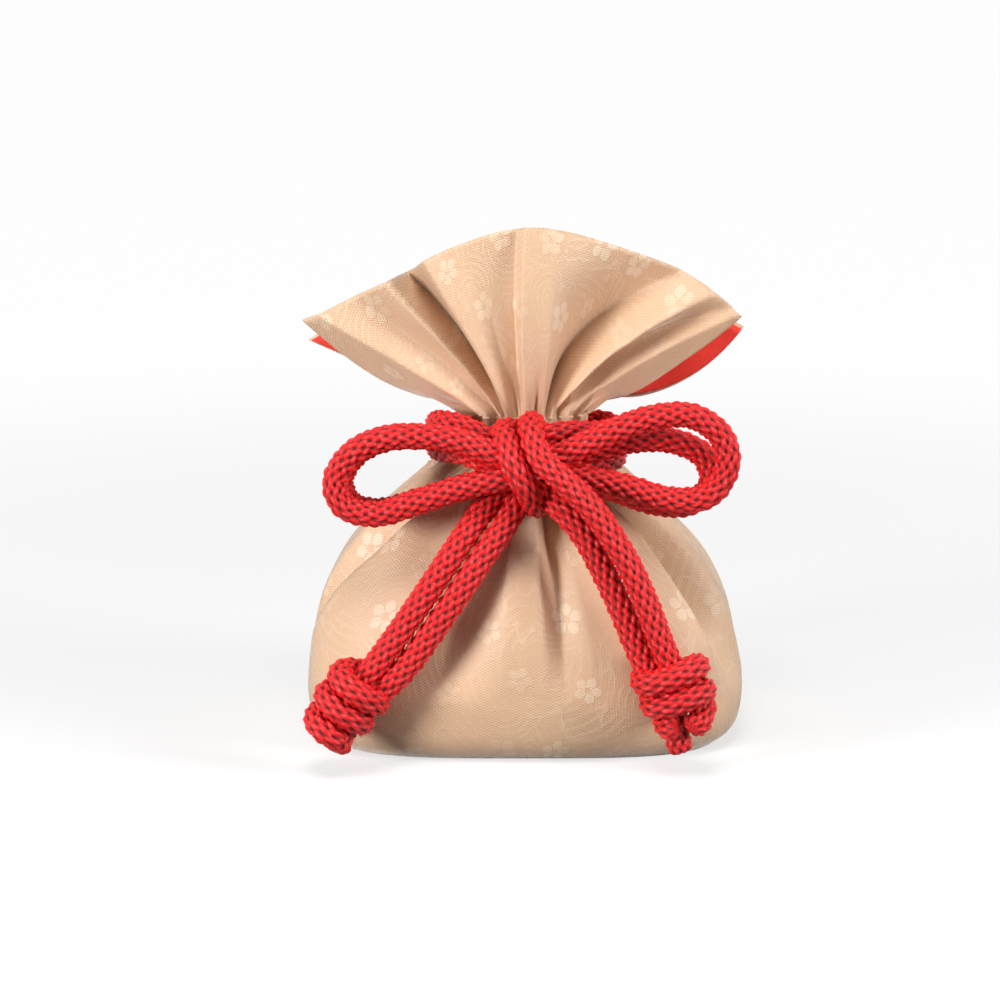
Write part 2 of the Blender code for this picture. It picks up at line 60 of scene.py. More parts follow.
# Bag outline: height of each level, half width, half depth and squareness of its section
BAG_LEVELS = (
    (0.0, 38.0, 28.0, 3.6),
    (2.0, 40.6, 30.2, 3.5),
    (7.0, 42.4, 31.6, 3.4),
    (17.0, 41.6, 31.0, 3.1),
    (25.0, 39.8, 29.4, 2.8),
    (33.0, 36.0, 26.6, 2.5),
    (40.0, 30.6, 22.8, 2.3),
    (46.0, 24.6, 18.8, 2.1),
    (51.0, 18.6, 15.6, 2.0),
    (55.0, 15.0, 13.0, 2.0),
    (63.5, 14.6, 12.6, 2.0),
)
CHANNEL_BOTTOM = 51.0
CHANNEL_TOP = 62.5
NECK_TOP = BAG_LEVELS[-1][0]
SEAM_END = 50.4
MOUTH_HALF_WIDTH = 7.3
# How far the open side seam takes to widen, and how far the base's rows are drawn in at its fold line
MOUTH_OPENING_HEIGHT = 6.0
BASE_ROW_SHARE = 0.996

# Heights between which each kind of fold sets in or goes flat
LEVEL_FOLDS = (41.0, 48.0)
BODY_FOLDS_FLAT = (46.0, 55.0)
FLAP_FOLDS_START = (60.0, 66.0)
FLAP_FOLDS_RISE = 12.0
PLEATS_START = (34.0, 54.0)
PUCKERS_START = (44.0, 52.0)
LOOSE_CLOTH_START = (4.0, 14.0)
# Shares of the flap over which the pleats and the puckers go flat
PLEATS_FLAT = (0.0, 0.3)
PUCKERS_FLAT = (0.0, 0.22)
PUCKER_SHARE = 0.3

# The lining: how far in it lies behind the cords, half the depth of its pleats there, and the
# share of the flap at which it ends, just short of the rim
LINING_BEHIND_CORDS = 7.5
LINING_CHANNEL_PLEAT = 0.3
LINING_FLAP_END = 0.982

# Half the width of the pattern on each panel, and how far the back panel's pattern lies from the
# front's on the uncut cloth
PANEL_HALF_WIDTH = 60.0
BACK_PATTERN_SHIFT = 210.0

# Guide curves of the two flaps, from the left corner to the right one
FRONT_FLAP_MIDDLE = ((-27.0, -4.0, 63.5), (-14.0, -13.0, 77.0), (-1.0, -16.0, 83.0),
                     (13.0, -13.5, 79.0), (25.0, -5.0, 66.5))
FRONT_FLAP_TOP = ((-43.0, -5.0, 80.5), (-25.0, -9.0, 89.5), (-14.0, -11.0, 95.5),
                  (-2.0, -12.0, 99.2), (9.0, -11.5, 98.3), (22.5, -10.0, 93.8), (34.0, -8.0, 88.0),
                  (41.5, -6.0, 81.5))
BACK_FLAP_MIDDLE = ((-25.0, 5.0, 67.0), (-13.0, 14.0, 76.0), (0.0, 17.0, 80.0), (13.0, 14.0, 76.0),
                    (31.0, 5.0, 61.5))
BACK_FLAP_TOP = ((-42.5, 6.5, 75.0), (-25.0, 10.0, 85.0), (0.0, 13.0, 96.5), (25.0, 10.5, 87.0),
                 (43.0, 7.5, 77.5))

# Fold lines, ridges and valleys in turn: place at the neck, place at the far end, then the depth
# at the neck, half way and at the far end. Places run from -1 at the left seam to 1 at the right.
FRONT_FLAP_LINES = (
    (-1.00, -1.00, 0.6, 1.6, 0.4),
    (-0.74, -0.975, 0.0, -0.8, 0.2),
    (-0.50, -0.92, -1.2, -3.2, -1.0),
    (-0.42, -0.76, 0.0, 0.4, 0.8),
    (-0.345, -0.60, -0.4, -0.8, -1.8),
    (-0.295, -0.555, 1.8, 6.6, 8.2),
    (-0.20, -0.42, -1.0, -2.2, -1.4),
    (-0.12, -0.22, 0.6, 1.4, 0.6),
    (-0.05, -0.02, 1.6, 2.4, 0.8),
    (0.00, 0.012, -1.2, -1.8, -0.8),
    (0.22, 0.125, -1.0, -1.4, 0.0),
    (0.29, 0.69, 3.8, 8.8, 3.6),
    (0.40, 0.85, -0.8, -1.6, 0.0),
    (0.50, 0.94, 2.6, 4.4, 0.6),
    (0.64, 0.98, -0.6, -0.8, -0.2),
    (1.00, 1.00, 0.4, 0.3, 0.0),
)
BACK_FLAP_LINES = (
    (-1.00, -1.00, 0.0, 0.0, 0.0),
    (-0.74, -0.80, -0.4, -0.4, -0.2),
    (-0.56, -0.60, 1.6, 3.8, 3.6),
    (-0.34, -0.38, -0.6, -0.8, -0.6),
    (-0.10, -0.12, 1.8, 3.8, 3.6),
    (0.12, 0.14, -0.6, -0.8, -0.4),
    (0.34, 0.37, 1.7, 3.8, 3.8),
    (0.54, 0.58, -0.5, -0.6, -0.3),
    (0.68, 0.73, 1.2, 2.2, 1.8),
    (0.82, 0.86, -0.2, -0.2, 0.0),
    (1.00, 1.00, 0.0, 0.0, 0.0),
)
# The same for the long folds that run down from the neck, with the far end low on the body
FRONT_BODY_LINES = (
    (-1.00, -1.00, 0.0, 0.0, 0.0),
    (-0.80, -0.99, -0.2, -0.4, 0.0),
    (-0.59, -0.97, 2.4, 4.6, 0.0),
    (-0.47, -0.92, -1.0, -1.8, 0.0),
    (-0.33, -0.50, 0.6, 0.8, 0.0),
    (-0.20, -0.27, 2.8, 4.2, 0.0),
    (-0.08, -0.06, -1.4, -1.6, 0.0),
    (0.05, 0.06, -0.8, -0.4, 0.0),
    (0.10, 0.12, 3.4, 3.2, 0.0),
    (0.17, 0.22, 0.4, 0.6, 0.0),
    (0.30, 0.38, -0.4, 0.0, 0.0),
    (0.46, 0.62, -1.2, -2.2, 0.0),
    (0.53, 0.71, 3.2, 5.4, 0.0),
    (0.68, 0.84, -0.4, -0.6, 0.0),
    (0.88, 0.94, 0.2, 0.3, 0.0),
    (1.00, 1.00, 0.0, 0.0, 0.0),
)
BACK_BODY_LINES = (
    (-1.00, -1.00, 0.0, 0.0, 0.0),
    (-0.74, -0.78, -0.4, -0.5, 0.0),
    (-0.52, -0.56, 0.9, 2.6, 0.0),
    (-0.30, -0.33, -0.5, -0.7, 0.0),
    (-0.06, -0.08, 0.8, 2.4, 0.0),
    (0.18, 0.20, -0.5, -0.7, 0.0),
    (0.42, 0.46, 0.9, 2.6, 0.0),
    (0.66, 0.70, -0.4, -0.5, 0.0),
    (0.84, 0.86, 0.4, 0.8, 0.0),
    (1.00, 1.00, 0.0, 0.0, 0.0),
)
BODY_FOLDS_END = 12.0

# Routes of the cords. The left cord's upper and lower strands, from the side mouth to the bow
LEFT_APPROACH_UPPER = ((-12.6, -2.2, 59.5), (-15.6, -2.6, 59.8), (-16.9, -6.4, 60.8),
                       (-16.0, -11.4, 61.8), (-13.4, -15.8, 62.2), (-9.2, -19.0, 61.0),
                       (-4.8, -20.4, 59.2))
LEFT_APPROACH_LOWER = ((-12.8, 2.2, 54.2), (-15.7, 1.0, 54.6), (-16.8, -3.4, 55.4),
                       (-16.0, -8.6, 56.2), (-13.8, -13.2, 56.8), (-10.8, -16.8, 56.8),
                       (-7.8, -19.2, 56.0), (-4.4, -20.8, 55.0))
RIGHT_APPROACH_UPPER = ((12.8, 2.2, 59.5), (15.7, 1.0, 59.4), (16.9, -3.2, 59.4),
                        (16.1, -8.4, 59.6), (13.9, -13.0, 60.2), (11.2, -16.8, 60.8),
                        (8.0, -19.0, 61.2), (4.0, -20.8, 61.0))
RIGHT_APPROACH_LOWER = ((12.6, -2.2, 54.0), (15.8, -2.8, 54.4), (17.2, -6.6, 54.6),
                        (16.2, -11.6, 54.6), (13.4, -15.8, 54.6), (9.8, -19.0, 54.6),
                        (5.2, -20.6, 54.8))
LEFT_LOOP_FRONT = ((-4.6, -27.2, 58.4), (-12.7, -26.6, 61.2), (-19.3, -26.2, 62.0),
                   (-26.4, -26.0, 61.6), (-32.4, -26.0, 58.8), (-35.8, -26.0, 53.4),
                   (-34.0, -26.2, 48.6), (-28.0, -26.4, 47.2), (-20.3, -26.6, 49.6),
                   (-12.3, -27.0, 52.4), (-4.4, -27.4, 54.2))
LEFT_LOOP_BACK = ((-5.0, -21.0, 57.0), (-12.7, -20.6, 60.0), (-19.3, -20.4, 60.8),
                  (-26.2, -20.2, 60.4), (-32.0, -20.2, 57.6), (-35.0, -20.2, 52.6),
                  (-33.2, -20.4, 48.0), (-27.8, -20.6, 46.6), (-20.3, -20.8, 48.6),
                  (-12.9, -21.0, 50.8), (-5.4, -21.2, 52.8))
RIGHT_LOOP_OUTER = ((5.0, -25.2, 57.8), (12.0, -25.0, 60.7), (17.9, -25.0, 63.5),
                    (24.3, -25.0, 65.5), (31.1, -25.0, 65.6), (36.5, -25.0, 61.8),
                    (37.7, -25.0, 56.0), (34.3, -25.2, 50.6), (27.1, -25.4, 49.8),
                    (18.5, -25.4, 52.3), (11.6, -25.2, 53.7), (5.4, -25.0, 54.2))
RIGHT_LOOP_INNER = ((5.0, -19.6, 57.2), (13.5, -19.4, 58.3), (20.4, -19.2, 59.9),
                    (27.7, -19.2, 59.8), (33.7, -19.2, 56.8), (35.1, -19.3, 51.4),
                    (30.9, -19.5, 47.8), (24.3, -19.6, 48.0), (16.8, -19.6, 50.5),
                    (10.9, -19.6, 52.1), (5.4, -19.8, 53.4))
LEFT_BAND = ((-4.0, -20.4, 62.0), (-3.8, -26.4, 60.8), (-2.4, -29.4, 57.2), (0.0, -29.4, 52.8),
             (1.8, -25.4, 48.8))
RIGHT_TAIL_FRONT = ((1.0, -20.2, 63.4), (1.0, -26.4, 62.0), (2.8, -30.0, 58.4), (6.8, -32.0, 54.8),
                    (11.6, -33.4, 50.4), (15.6, -34.2, 45.0), (19.2, -35.0, 39.0),
                    (22.4, -35.8, 32.0), (25.2, -36.4, 24.6), (27.6, -36.6, 19.4),
                    (31.0, -36.6, 16.0), (33.0, -36.8, 13.4), (32.4, -38.8, 10.8),
                    (31.0, -40.4, 9.6))
RIGHT_TAIL_BACK = ((3.0, -24.0, 50.8), (7.2, -28.6, 48.0), (11.0, -30.4, 43.6), (14.3, -31.6, 37.6),
                   (17.4, -32.8, 31.2), (20.1, -34.0, 24.8), (23.0, -35.2, 18.4),
                   (26.4, -36.4, 12.6), (29.0, -37.4, 4.4))
LEFT_TAIL_OUTER = ((-3.4, -22.0, 52.0), (-8.0, -24.6, 47.6), (-12.2, -28.4, 42.4),
                   (-16.8, -30.8, 35.8), (-22.0, -32.6, 28.4), (-27.0, -34.2, 21.6),
                   (-31.0, -35.4, 16.6), (-35.4, -36.2, 11.6), (-38.8, -37.0, 7.6))
LEFT_TAIL_INNER = ((-0.6, -22.0, 50.6), (-3.4, -25.6, 45.8), (-7.4, -28.6, 40.6),
                   (-12.4, -31.2, 33.4), (-17.6, -32.8, 26.0), (-22.6, -34.0, 19.4),
                   (-26.6, -35.2, 15.6), (-30.4, -36.0, 12.8), (-33.6, -37.0, 9.0),
                   (-35.4, -38.6, 4.8))
# What each strand does inside the bow: from its approach into its loop, and from there to its tail
INTO_LEFT_FRONT = ((1.6, -21.0, 57.6), (3.6, -23.6, 57.4), (0.6, -26.4, 57.8))
INTO_LEFT_BACK = ((0.6, -20.2, 54.2), (2.4, -18.6, 55.4), (0.2, -19.8, 56.4))
INTO_RIGHT_OUTER = ((-1.6, -21.0, 59.6), (-3.6, -23.4, 58.4), (0.0, -25.0, 57.4))
INTO_RIGHT_INNER = ((-0.6, -20.2, 55.2), (-2.8, -18.6, 56.2), (0.0, -19.0, 57.0))
INTO_LEFT_BAND = ((1.0, -25.6, 55.2), (2.6, -21.8, 58.0), (-0.8, -18.4, 61.0))
OUT_OF_LEFT_BAND = ((2.6, -22.2, 48.6),)
INTO_RIGHT_TAIL_FRONT = ((1.2, -20.6, 54.4), (4.2, -18.4, 57.4), (2.4, -17.0, 61.0))
INTO_LEFT_TAIL_OUTER = ((0.6, -24.2, 54.0),)
INTO_LEFT_TAIL_INNER = ((1.8, -19.8, 52.6),)

# The cords in the channel: how far in from the neck's outline, and the middle of their two levels
# with the half distance between them
CORD_INSET = 4.3
CORD_MIDDLE_LEVEL = 56.75
CORD_LEVEL_STEP = 2.75

# End knots: centre, direction of the wrapped cords, number of turns, half width of their centreline
RIGHT_END_KNOT = ((28.0, -36.8, 16.0), (0.36, 0.0, -0.93), 2.4, 5.3)
LEFT_END_KNOT = ((-33.4, -36.0, 12.8), (-0.56, 0.0, -0.83), 2.6, 4.4)
# Half depth of the wraps' centreline, its rise in a turn, its slant, and how much it narrows
WRAP_HALF_DEPTH = 3.8
WRAP_RISE = 4.7
WRAP_SLANT = 0.7
WRAP_TAPER = 0.22

# Camera: what it looks at, how far away it stands, how high it looks from, and its lens
CAMERA_TARGET = (-4.9, 0.0, 44.3)
CAMERA_DISTANCE = 620.0
CAMERA_ELEVATION = 12.0
CAMERA_LENS = 113.87
CAMERA_SENSOR = 36.0

# Lights: name, place and diameter in metres, and the setting that holds the power
LIGHTS = (
    ("left_light", (-0.54, -0.44, 0.16), 0.24, "left_power"),
    ("right_light", (0.62, -0.30, 0.26), 0.30, "right_power"),
    ("top_light", (-0.04, -0.24, 0.74), 0.36, "top_power"),
)
LIGHTS_AIM = (0.0, 0.0, 0.05)

# A cord's cut end: the share by which it shrinks and over what length, then its dome's rings as
# shares of the radius, the dome's height, and how far the middle stands out of the last ring
CUT_SHRINK = 0.14
CUT_LENGTH = 0.9
CUT_RINGS = (0.82, 0.55, 0.28)
CUT_DOME = 0.55
CUT_TIP = 0.04

# How straight the cloth runs from one fold line to the next: 1 for a straight ramp, 0 for a wave
FOLD_CRISPNESS = 0.6

# Points round a cord and distance between its rings, points round a thread and rings along a stitch
CORD_SIDES = 48
CORD_RING_SPACING = 0.33
THREAD_SIDES = 6
STITCH_RINGS = 7


def length_setting(name, description, default, least=0.0001):
    """A length that a user may change."""
    return FloatProperty(name=name, description=description, default=default, min=least,
                         unit="LENGTH", precision=5)


def colour_setting(name, description, default):
    """A colour that a user may change."""
    return FloatVectorProperty(name=name, description=description, default=(*default, 1.0),
                               subtype="COLOR", size=4, min=0.0, max=1.0)


def power_setting(name, description, default):
    """A light's power that a user may change."""
    return FloatProperty(name=name, description=description, default=default, min=0.0, unit="POWER")


class PouchClothSettings(bpy.types.PropertyGroup):
    outer_thickness: length_setting("Outer cloth", "Thickness of the patterned cloth", 0.00035)
    lining_thickness: length_setting("Lining cloth", "Thickness of the lining", 0.0003)
    lining_inset: length_setting(
        "Lining inset", "How far the lining's outside lies inside the outer cloth's", 0.00125, 0.0004)
    pleats: IntProperty(
        name="Pleats", description="Even pleats round the gathered neck", default=14, min=6)
    pleat_depth: length_setting("Pleat depth", "Half the depth of the even pleats", 0.00095, 0.0)
    weave_pitch: length_setting(
        "Weave pitch", "Distance between two threads of the outer cloth", 0.00052, 0.0002)
    ground_colour: colour_setting(
        "Ground", "Colour of the outer cloth between its figures", (0.640, 0.410, 0.255))
    figure_colour: colour_setting("Figures", "Colour of the woven figures", (0.725, 0.535, 0.370))
    lining_colour: colour_setting("Lining", "Colour of the lining", (0.780, 0.034, 0.018))
    stitch_length: length_setting("Stitch length", "Length of one stitch that shows", 0.0020, 0.0005)
    stitch_gap: length_setting("Stitch gap", "Cloth between two stitches", 0.0009, 0.0002)
    thread_diameter: length_setting("Thread", "Diameter of the sewing thread", 0.00034)
    thread_colour: colour_setting(
        "Thread colour", "Colour of the sewing thread", (0.780, 0.620, 0.450))


class PouchCordSettings(bpy.types.PropertyGroup):
    diameter: length_setting("Diameter", "Diameter over the braid's bumps", 0.0052, 0.001)
    yarns: IntProperty(
        name="Yarns a way", description="Yarns that turn each way round the cord", default=8, min=4)
    row_length: length_setting(
        "Row length", "Length of one row of bumps along the cord", 0.00155, 0.0004)
    bump_depth: length_setting("Bump depth", "Height of a bump over the gaps beside it", 0.00098, 0.0)
    bump_colour: colour_setting("Bumps", "Colour of the yarn on a bump", (0.830, 0.009, 0.011))
    # Painted shade: the dark red put deep between the bumps stands for the shade that falls there
    gap_shade_colour: colour_setting("Gaps", "Colour deep between the bumps", (0.150, 0.002, 0.003))


class PouchStageSettings(bpy.types.PropertyGroup):
    floor_size: length_setting("Floor", "Side of the floor", 6.0, 0.5)
    world_strength: FloatProperty(
        name="Surroundings", description="Strength of the even light from all round", default=0.13,
        min=0.0)
    left_power: power_setting("Left light", "Power of the light on the left", 4.9)
    right_power: power_setting("Right light", "Power of the light on the right", 4.0)
    top_power: power_setting("Top light", "Power of the light overhead", 3.2)


# Curves and small formulas

def hermite(t, width, start, end, start_slope, end_slope):
    """Cubic Hermite value at t of the way from start to end, over a span of that width."""
    return ((2 * t**3 - 3 * t**2 + 1) * start + (t**3 - 2 * t**2 + t) * width * start_slope
            + (3 * t**2 - 2 * t**3) * end + (t**3 - t**2) * width * end_slope)


def run_along(points):
    """Distance of each point from the first one, along the line through them all."""
    return np.concatenate(([0.0], np.cumsum(np.linalg.norm(np.diff(points, axis=0), axis=1))))


def read_along(wanted, run, values):
    """Vectors kept at distances along a line, read at the wanted distances."""
    return np.stack([np.interp(wanted, run, values[:, axis]) for axis in range(3)], axis=1)


def smooth_curve(points, places):
    """A smooth curve through points, read at places from 0 to 1.

    It is cubic Hermite with Catmull-Rom slopes, and its knots lie at the points' distances.
    """
    points = np.asarray(points, float)
    knots = run_along(points)
    knots /= knots[-1]
    slopes = np.empty_like(points)
    slopes[1:-1] = (points[2:] - points[:-2]) / (knots[2:] - knots[:-2])[:, None]
    slopes[0] = (points[1] - points[0]) / (knots[1] - knots[0])
    slopes[-1] = (points[-1] - points[-2]) / (knots[-1] - knots[-2])
    places = np.asarray(places, float)
    span = np.clip(np.searchsorted(knots, places, side="right") - 1, 0, len(knots) - 2)
    width = (knots[span + 1] - knots[span])[:, None]
    t = (places[:, None] - knots[span][:, None]) / width
    return hermite(t, width, points[span], points[span + 1], slopes[span], slopes[span + 1])


def even_route(points, spacing):
    """Points an even distance apart along the smooth curve through the route's own points."""
    fine = smooth_curve(points, np.linspace(0.0, 1.0, 60 * len(points)))
    run = run_along(fine)
    wanted = np.linspace(0.0, run[-1], max(3, int(round(run[-1] / spacing)) + 1))
    return read_along(wanted, run, fine)


def unit(vectors):
    """The same directions, each one unit long."""
    return vectors / np.maximum(np.linalg.norm(vectors, axis=-1, keepdims=True), 1e-12)


def fade(value, start, end):
    """Smooth step from 0 at start to 1 at end."""
    t = np.clip((value - start) / (end - start), 0.0, 1.0)
    return t * t * (3.0 - 2.0 * t)


def smooth_levels(height):
    """Half width, half depth and squareness at a height: a cubic Hermite curve through BAG_LEVELS."""
    levels = np.asarray(BAG_LEVELS)
    knots, values = levels[:, 0], levels[:, 1:]
    steps = np.diff(values, axis=0) / np.diff(knots)[:, None]
    slopes = np.concatenate((steps[:1], (steps[1:] + steps[:-1]) / 2.0, steps[-1:]))
    span = int(np.clip(np.searchsorted(knots, height, side="right") - 1, 0, len(knots) - 2))
    width = knots[span + 1] - knots[span]
    t = (height - knots[span]) / width
    return hermite(t, width, values[span], values[span + 1], slopes[span], slopes[span + 1])


def grid_faces(rows, columns, closed=False):
    """Four-sided faces over a grid of points. A closed grid's last column joins its first."""
    index = np.arange(rows * columns).reshape(rows, columns)
    if closed:
        index = np.concatenate((index, index[:, :1]), axis=1)
    return np.stack([index[:-1, :-1], index[:-1, 1:], index[1:, 1:], index[1:, :-1]],
                    axis=-1).reshape(-1, 4)


def section(height, places):
    """Outline of the bag at a height, read at places from -1 (left seam) over the front (0) to 1.

    A superellipse, with its points an even share of the half perimeter apart.
    """
    half_width, half_depth, power = smooth_levels(height)
    angle = np.linspace(-math.pi / 2, math.pi / 2, 1441)
    x = half_width * np.sign(np.sin(angle)) * np.abs(np.sin(angle)) ** (2.0 / power)
    y = -half_depth * np.abs(np.cos(angle)) ** (2.0 / power)
    run = np.concatenate(([0.0], np.cumsum(np.hypot(np.diff(x), np.diff(y)))))
    share = 2.0 * run / run[-1] - 1.0
    return np.interp(places, share, x), np.interp(places, share, y)


def mouth_share():
    """Part of a panel's half width that the open side seam takes at the neck."""
    x, y = section(CHANNEL_TOP, np.linspace(0.0, 1.0, 200))
    return MOUTH_HALF_WIDTH / np.sum(np.hypot(np.diff(x), np.diff(y)))


def fold_field(places, share, lines):
    """Inward depth of a panel's folds, for places across it and shares of the way along the folds.

    Each line moves evenly from its place at the neck to its place at the far end, and its depth
    follows the parabola through its three depths. Between two lines the depth runs from one to
    the other on a mix of a straight ramp and a smooth step, so ridges stay fairly crisp.
    """
    lines = np.asarray(lines)
    share = np.asarray(share, float)[:, None]
    position = lines[:, 0] * (1.0 - share) + lines[:, 1] * share
    near, middle, far = lines[:, 2], lines[:, 3], lines[:, 4]
    depth = (near * (1.0 - share) * (1.0 - 2.0 * share) + 4.0 * middle * share * (1.0 - share)
             + far * share * (2.0 * share - 1.0))
    field = np.repeat(depth[:, :1], len(places), axis=1)
    for line in range(len(lines) - 1):
        width = position[:, line + 1] - position[:, line]
        t = np.clip((places[None, :] - position[:, line, None]) / width[:, None], 0.0, 1.0)
        ramp = FOLD_CRISPNESS * t + (1.0 - FOLD_CRISPNESS) * t * t * (3.0 - 2.0 * t)
        field += (depth[:, line + 1] - depth[:, line])[:, None] * ramp
    return field


def soft_dents(places, heights, phase):
    """Slight unevenness of the cloth: three crossing waves of different lengths, in millimetres."""
    p, h = places[None, :], np.asarray(heights)[:, None]
    return (0.22 * np.sin(5.1 * p + 0.11 * h + phase) * np.sin(0.17 * h + 2.0 * p + 1.7 * phase)
            + 0.12 * np.sin(11.0 * p - 0.21 * h + 2.3 * phase)
            + 0.07 * np.sin(23.0 * p + 0.37 * h + 0.6 * phase))


# Cloth

# How finely one layer of cloth is drawn, the heights of its rows, the share of the flap at which it
# ends, and how far in it lies and half its pleats' depth as functions of height
PanelPlan = namedtuple("PanelPlan", ("columns", "base_rows", "body_heights", "flap_rows", "flap_end",
                                     "inset", "pleat_depth", "pleats"))


def smooth_panel(side, plan):
    """A panel without its folds: rows over the base, up the body and out over the flap.

    The base rows are the lowest outline drawn in towards the fold line y = 0. Each flap row is a
    quadratic Bezier curve from the neck over the middle guide curve to the top one.
    """
    places = np.linspace(-1.0, 1.0, plan.columns + 1)
    x, y = section(0.0, places)
    rows = []
    for share in np.linspace(0.0, 1.0, plan.base_rows + 1)[:-1]:
        drawn_in = BASE_ROW_SHARE + (1.0 - BASE_ROW_SHARE) * share
        rows.append(np.stack([x * drawn_in, y * -side * share, np.zeros_like(x)], axis=1))
    for height in plan.body_heights:
        reach = 1.0 - mouth_share() * fade(height, SEAM_END, SEAM_END + MOUTH_OPENING_HEIGHT)
        x, y = section(height, places * reach)
        rows.append(np.stack([x, y * -side, np.full_like(x, height)], axis=1))
    neck = rows[-1]
    middle, top = ((FRONT_FLAP_MIDDLE, FRONT_FLAP_TOP) if side < 0
                   else (BACK_FLAP_MIDDLE, BACK_FLAP_TOP))
    across = (places + 1.0) / 2.0
    middle_row, top_row = smooth_curve(middle, across), smooth_curve(top, across)
    for share in np.linspace(0.0, plan.flap_end, plan.flap_rows + 1)[1:]:
        rows.append((1 - share) ** 2 * neck + 2 * share * (1 - share) * middle_row
                    + share**2 * top_row)
    return places, np.array(rows)


def folded_panel(side, plan):
    """A panel with its folds, moved along the smooth panel's own normal. Rows, columns, xyz."""
    places, surface = smooth_panel(side, plan)
    across = np.gradient(surface, axis=1)
    along = np.gradient(surface, axis=0)
    normal = unit(np.cross(across, along))
    level_normal = unit(np.cross(across, (0.0, 0.0, 1.0)))
    heights = np.concatenate((np.zeros(plan.base_rows), plan.body_heights,
                              np.full(plan.flap_rows, NECK_TOP)))
    shares = np.concatenate((np.zeros(plan.base_rows + len(plan.body_heights)),
                             np.linspace(0.0, plan.flap_end, plan.flap_rows + 1)[1:]))
    level_share = (fade(heights, *LEVEL_FOLDS) * (shares == 0.0))[:, None, None]
    normal = unit(normal * (1.0 - level_share) + level_normal * level_share) * -side
    base = np.arange(len(heights)) < plan.base_rows
    normal[base] = (0.0, 0.0, -1.0)
    body_lines, flap_lines = ((FRONT_BODY_LINES, FRONT_FLAP_LINES) if side < 0
                              else (BACK_BODY_LINES, BACK_FLAP_LINES))
    down = np.clip((CHANNEL_BOTTOM - heights) / (CHANNEL_BOTTOM - BODY_FOLDS_END), 0.0, 1.0)
    body_folds = (fold_field(places, down, body_lines)
                  * (1.0 - fade(heights, *BODY_FOLDS_FLAT))[:, None])
    flap_folds = (fold_field(places, shares, flap_lines)
                  * fade(heights + FLAP_FOLDS_RISE * shares, *FLAP_FOLDS_START)[:, None])
    pleats = np.cos(math.pi * places * plan.pleats / 2.0)[None, :]
    even = fade(heights, *PLEATS_START) * (1.0 - fade(shares, *PLEATS_FLAT))
    puckers = np.cos(math.pi * places * plan.pleats * 1.5 + 2.0 * np.sin(5.0 * places))[None, :]
    tight = fade(heights, *PUCKERS_START) * (1.0 - fade(shares, *PUCKERS_FLAT))
    depth_in = np.array([plan.inset(height) for height in heights])
    pleat_depth = np.array([plan.pleat_depth(height) for height in heights])
    distance = (pleats * (even * pleat_depth)[:, None]
                + puckers * (tight * pleat_depth * PUCKER_SHARE)[:, None]
                - body_folds - flap_folds - depth_in[:, None])
    held = fade(heights, *PUCKERS_START) * (shares == 0.0)
    loose = fade(heights, *LOOSE_CLOTH_START) * (1.0 - 0.7 * held)
    distance += soft_dents(places, heights + 36.0 * shares, 1.0 + side) * loose[:, None]
    distance[base] = -plan.inset(0.0)
    return places, surface + normal * distance[..., None]


def cloth_mesh(name, plan):
    """Both panels as one surface with a UV map of the flat cloth, in metres.

    A panel's U is its place across the cut width, and its V is the mean length from the middle
    of the base up to the row.
    """
    grids = []
    for side in (-1, 1):
        places, grid = folded_panel(side, plan)
        smooth = smooth_panel(side, plan)[1]
        middle = smooth[:, plan.columns // 4: 3 * plan.columns // 4]
        steps = np.linalg.norm(np.diff(middle, axis=0), axis=2)
        run = np.concatenate(([0.0], np.cumsum(steps.mean(axis=1))))
        u = np.broadcast_to(places * PANEL_HALF_WIDTH, grid.shape[:2])
        v = np.broadcast_to(run[:, None], grid.shape[:2])
        if side > 0:
            grid, u = grid[:, ::-1], u[:, ::-1] + BACK_PATTERN_SHIFT
        grids.append([grid.copy(), np.stack([u, v], axis=2) * MM])
    # Rows below the side mouths, where the two panels share their seams
    tube = plan.base_rows + int(np.sum(plan.body_heights <= SEAM_END))
    front, back = grids[0][0], grids[1][0]
    for first, second in ((0, -1), (-1, 0)):
        seam = (front[:tube, first] + back[:tube, second]) / 2.0
        front[:tube, first] = seam
        back[:tube, second] = seam
    rows, columns = front.shape[:2]
    faces = grid_faces(rows, columns)
    faces = np.concatenate((faces, faces + rows * columns))
    points = np.concatenate((front.reshape(-1, 3), back.reshape(-1, 3))) * MM
    flat = np.concatenate((grids[0][1].reshape(-1, 2), grids[1][1].reshape(-1, 2)))
    data = bpy.data.meshes.new(name)
    data.from_pydata(points.tolist(), [], faces.tolist())
    layer = data.uv_layers.new(name="flat_cloth")
    layer.data.foreach_set("uv", flat[faces.ravel()].astype(np.float32).ravel())
    mesh = bmesh.new()
    mesh.from_mesh(data)
    bmesh.ops.remove_doubles(mesh, verts=mesh.verts, dist=1e-6)
    mesh.to_mesh(data)
    mesh.free()
    data.shade_smooth()
    return data


def outer_plan(settings):
    """The patterned cloth: fine enough for crisp folds."""
    heights = np.concatenate((np.linspace(0.0, 7.0, 9), np.linspace(8.4, 49.4, 31),
                              np.linspace(SEAM_END, NECK_TOP, 19)))
    return PanelPlan(
        columns=212, base_rows=7, body_heights=heights, flap_rows=42, flap_end=1.0,
        inset=lambda height: 0.0, pleat_depth=lambda height: settings.pleat_depth / MM,
        pleats=settings.pleats)


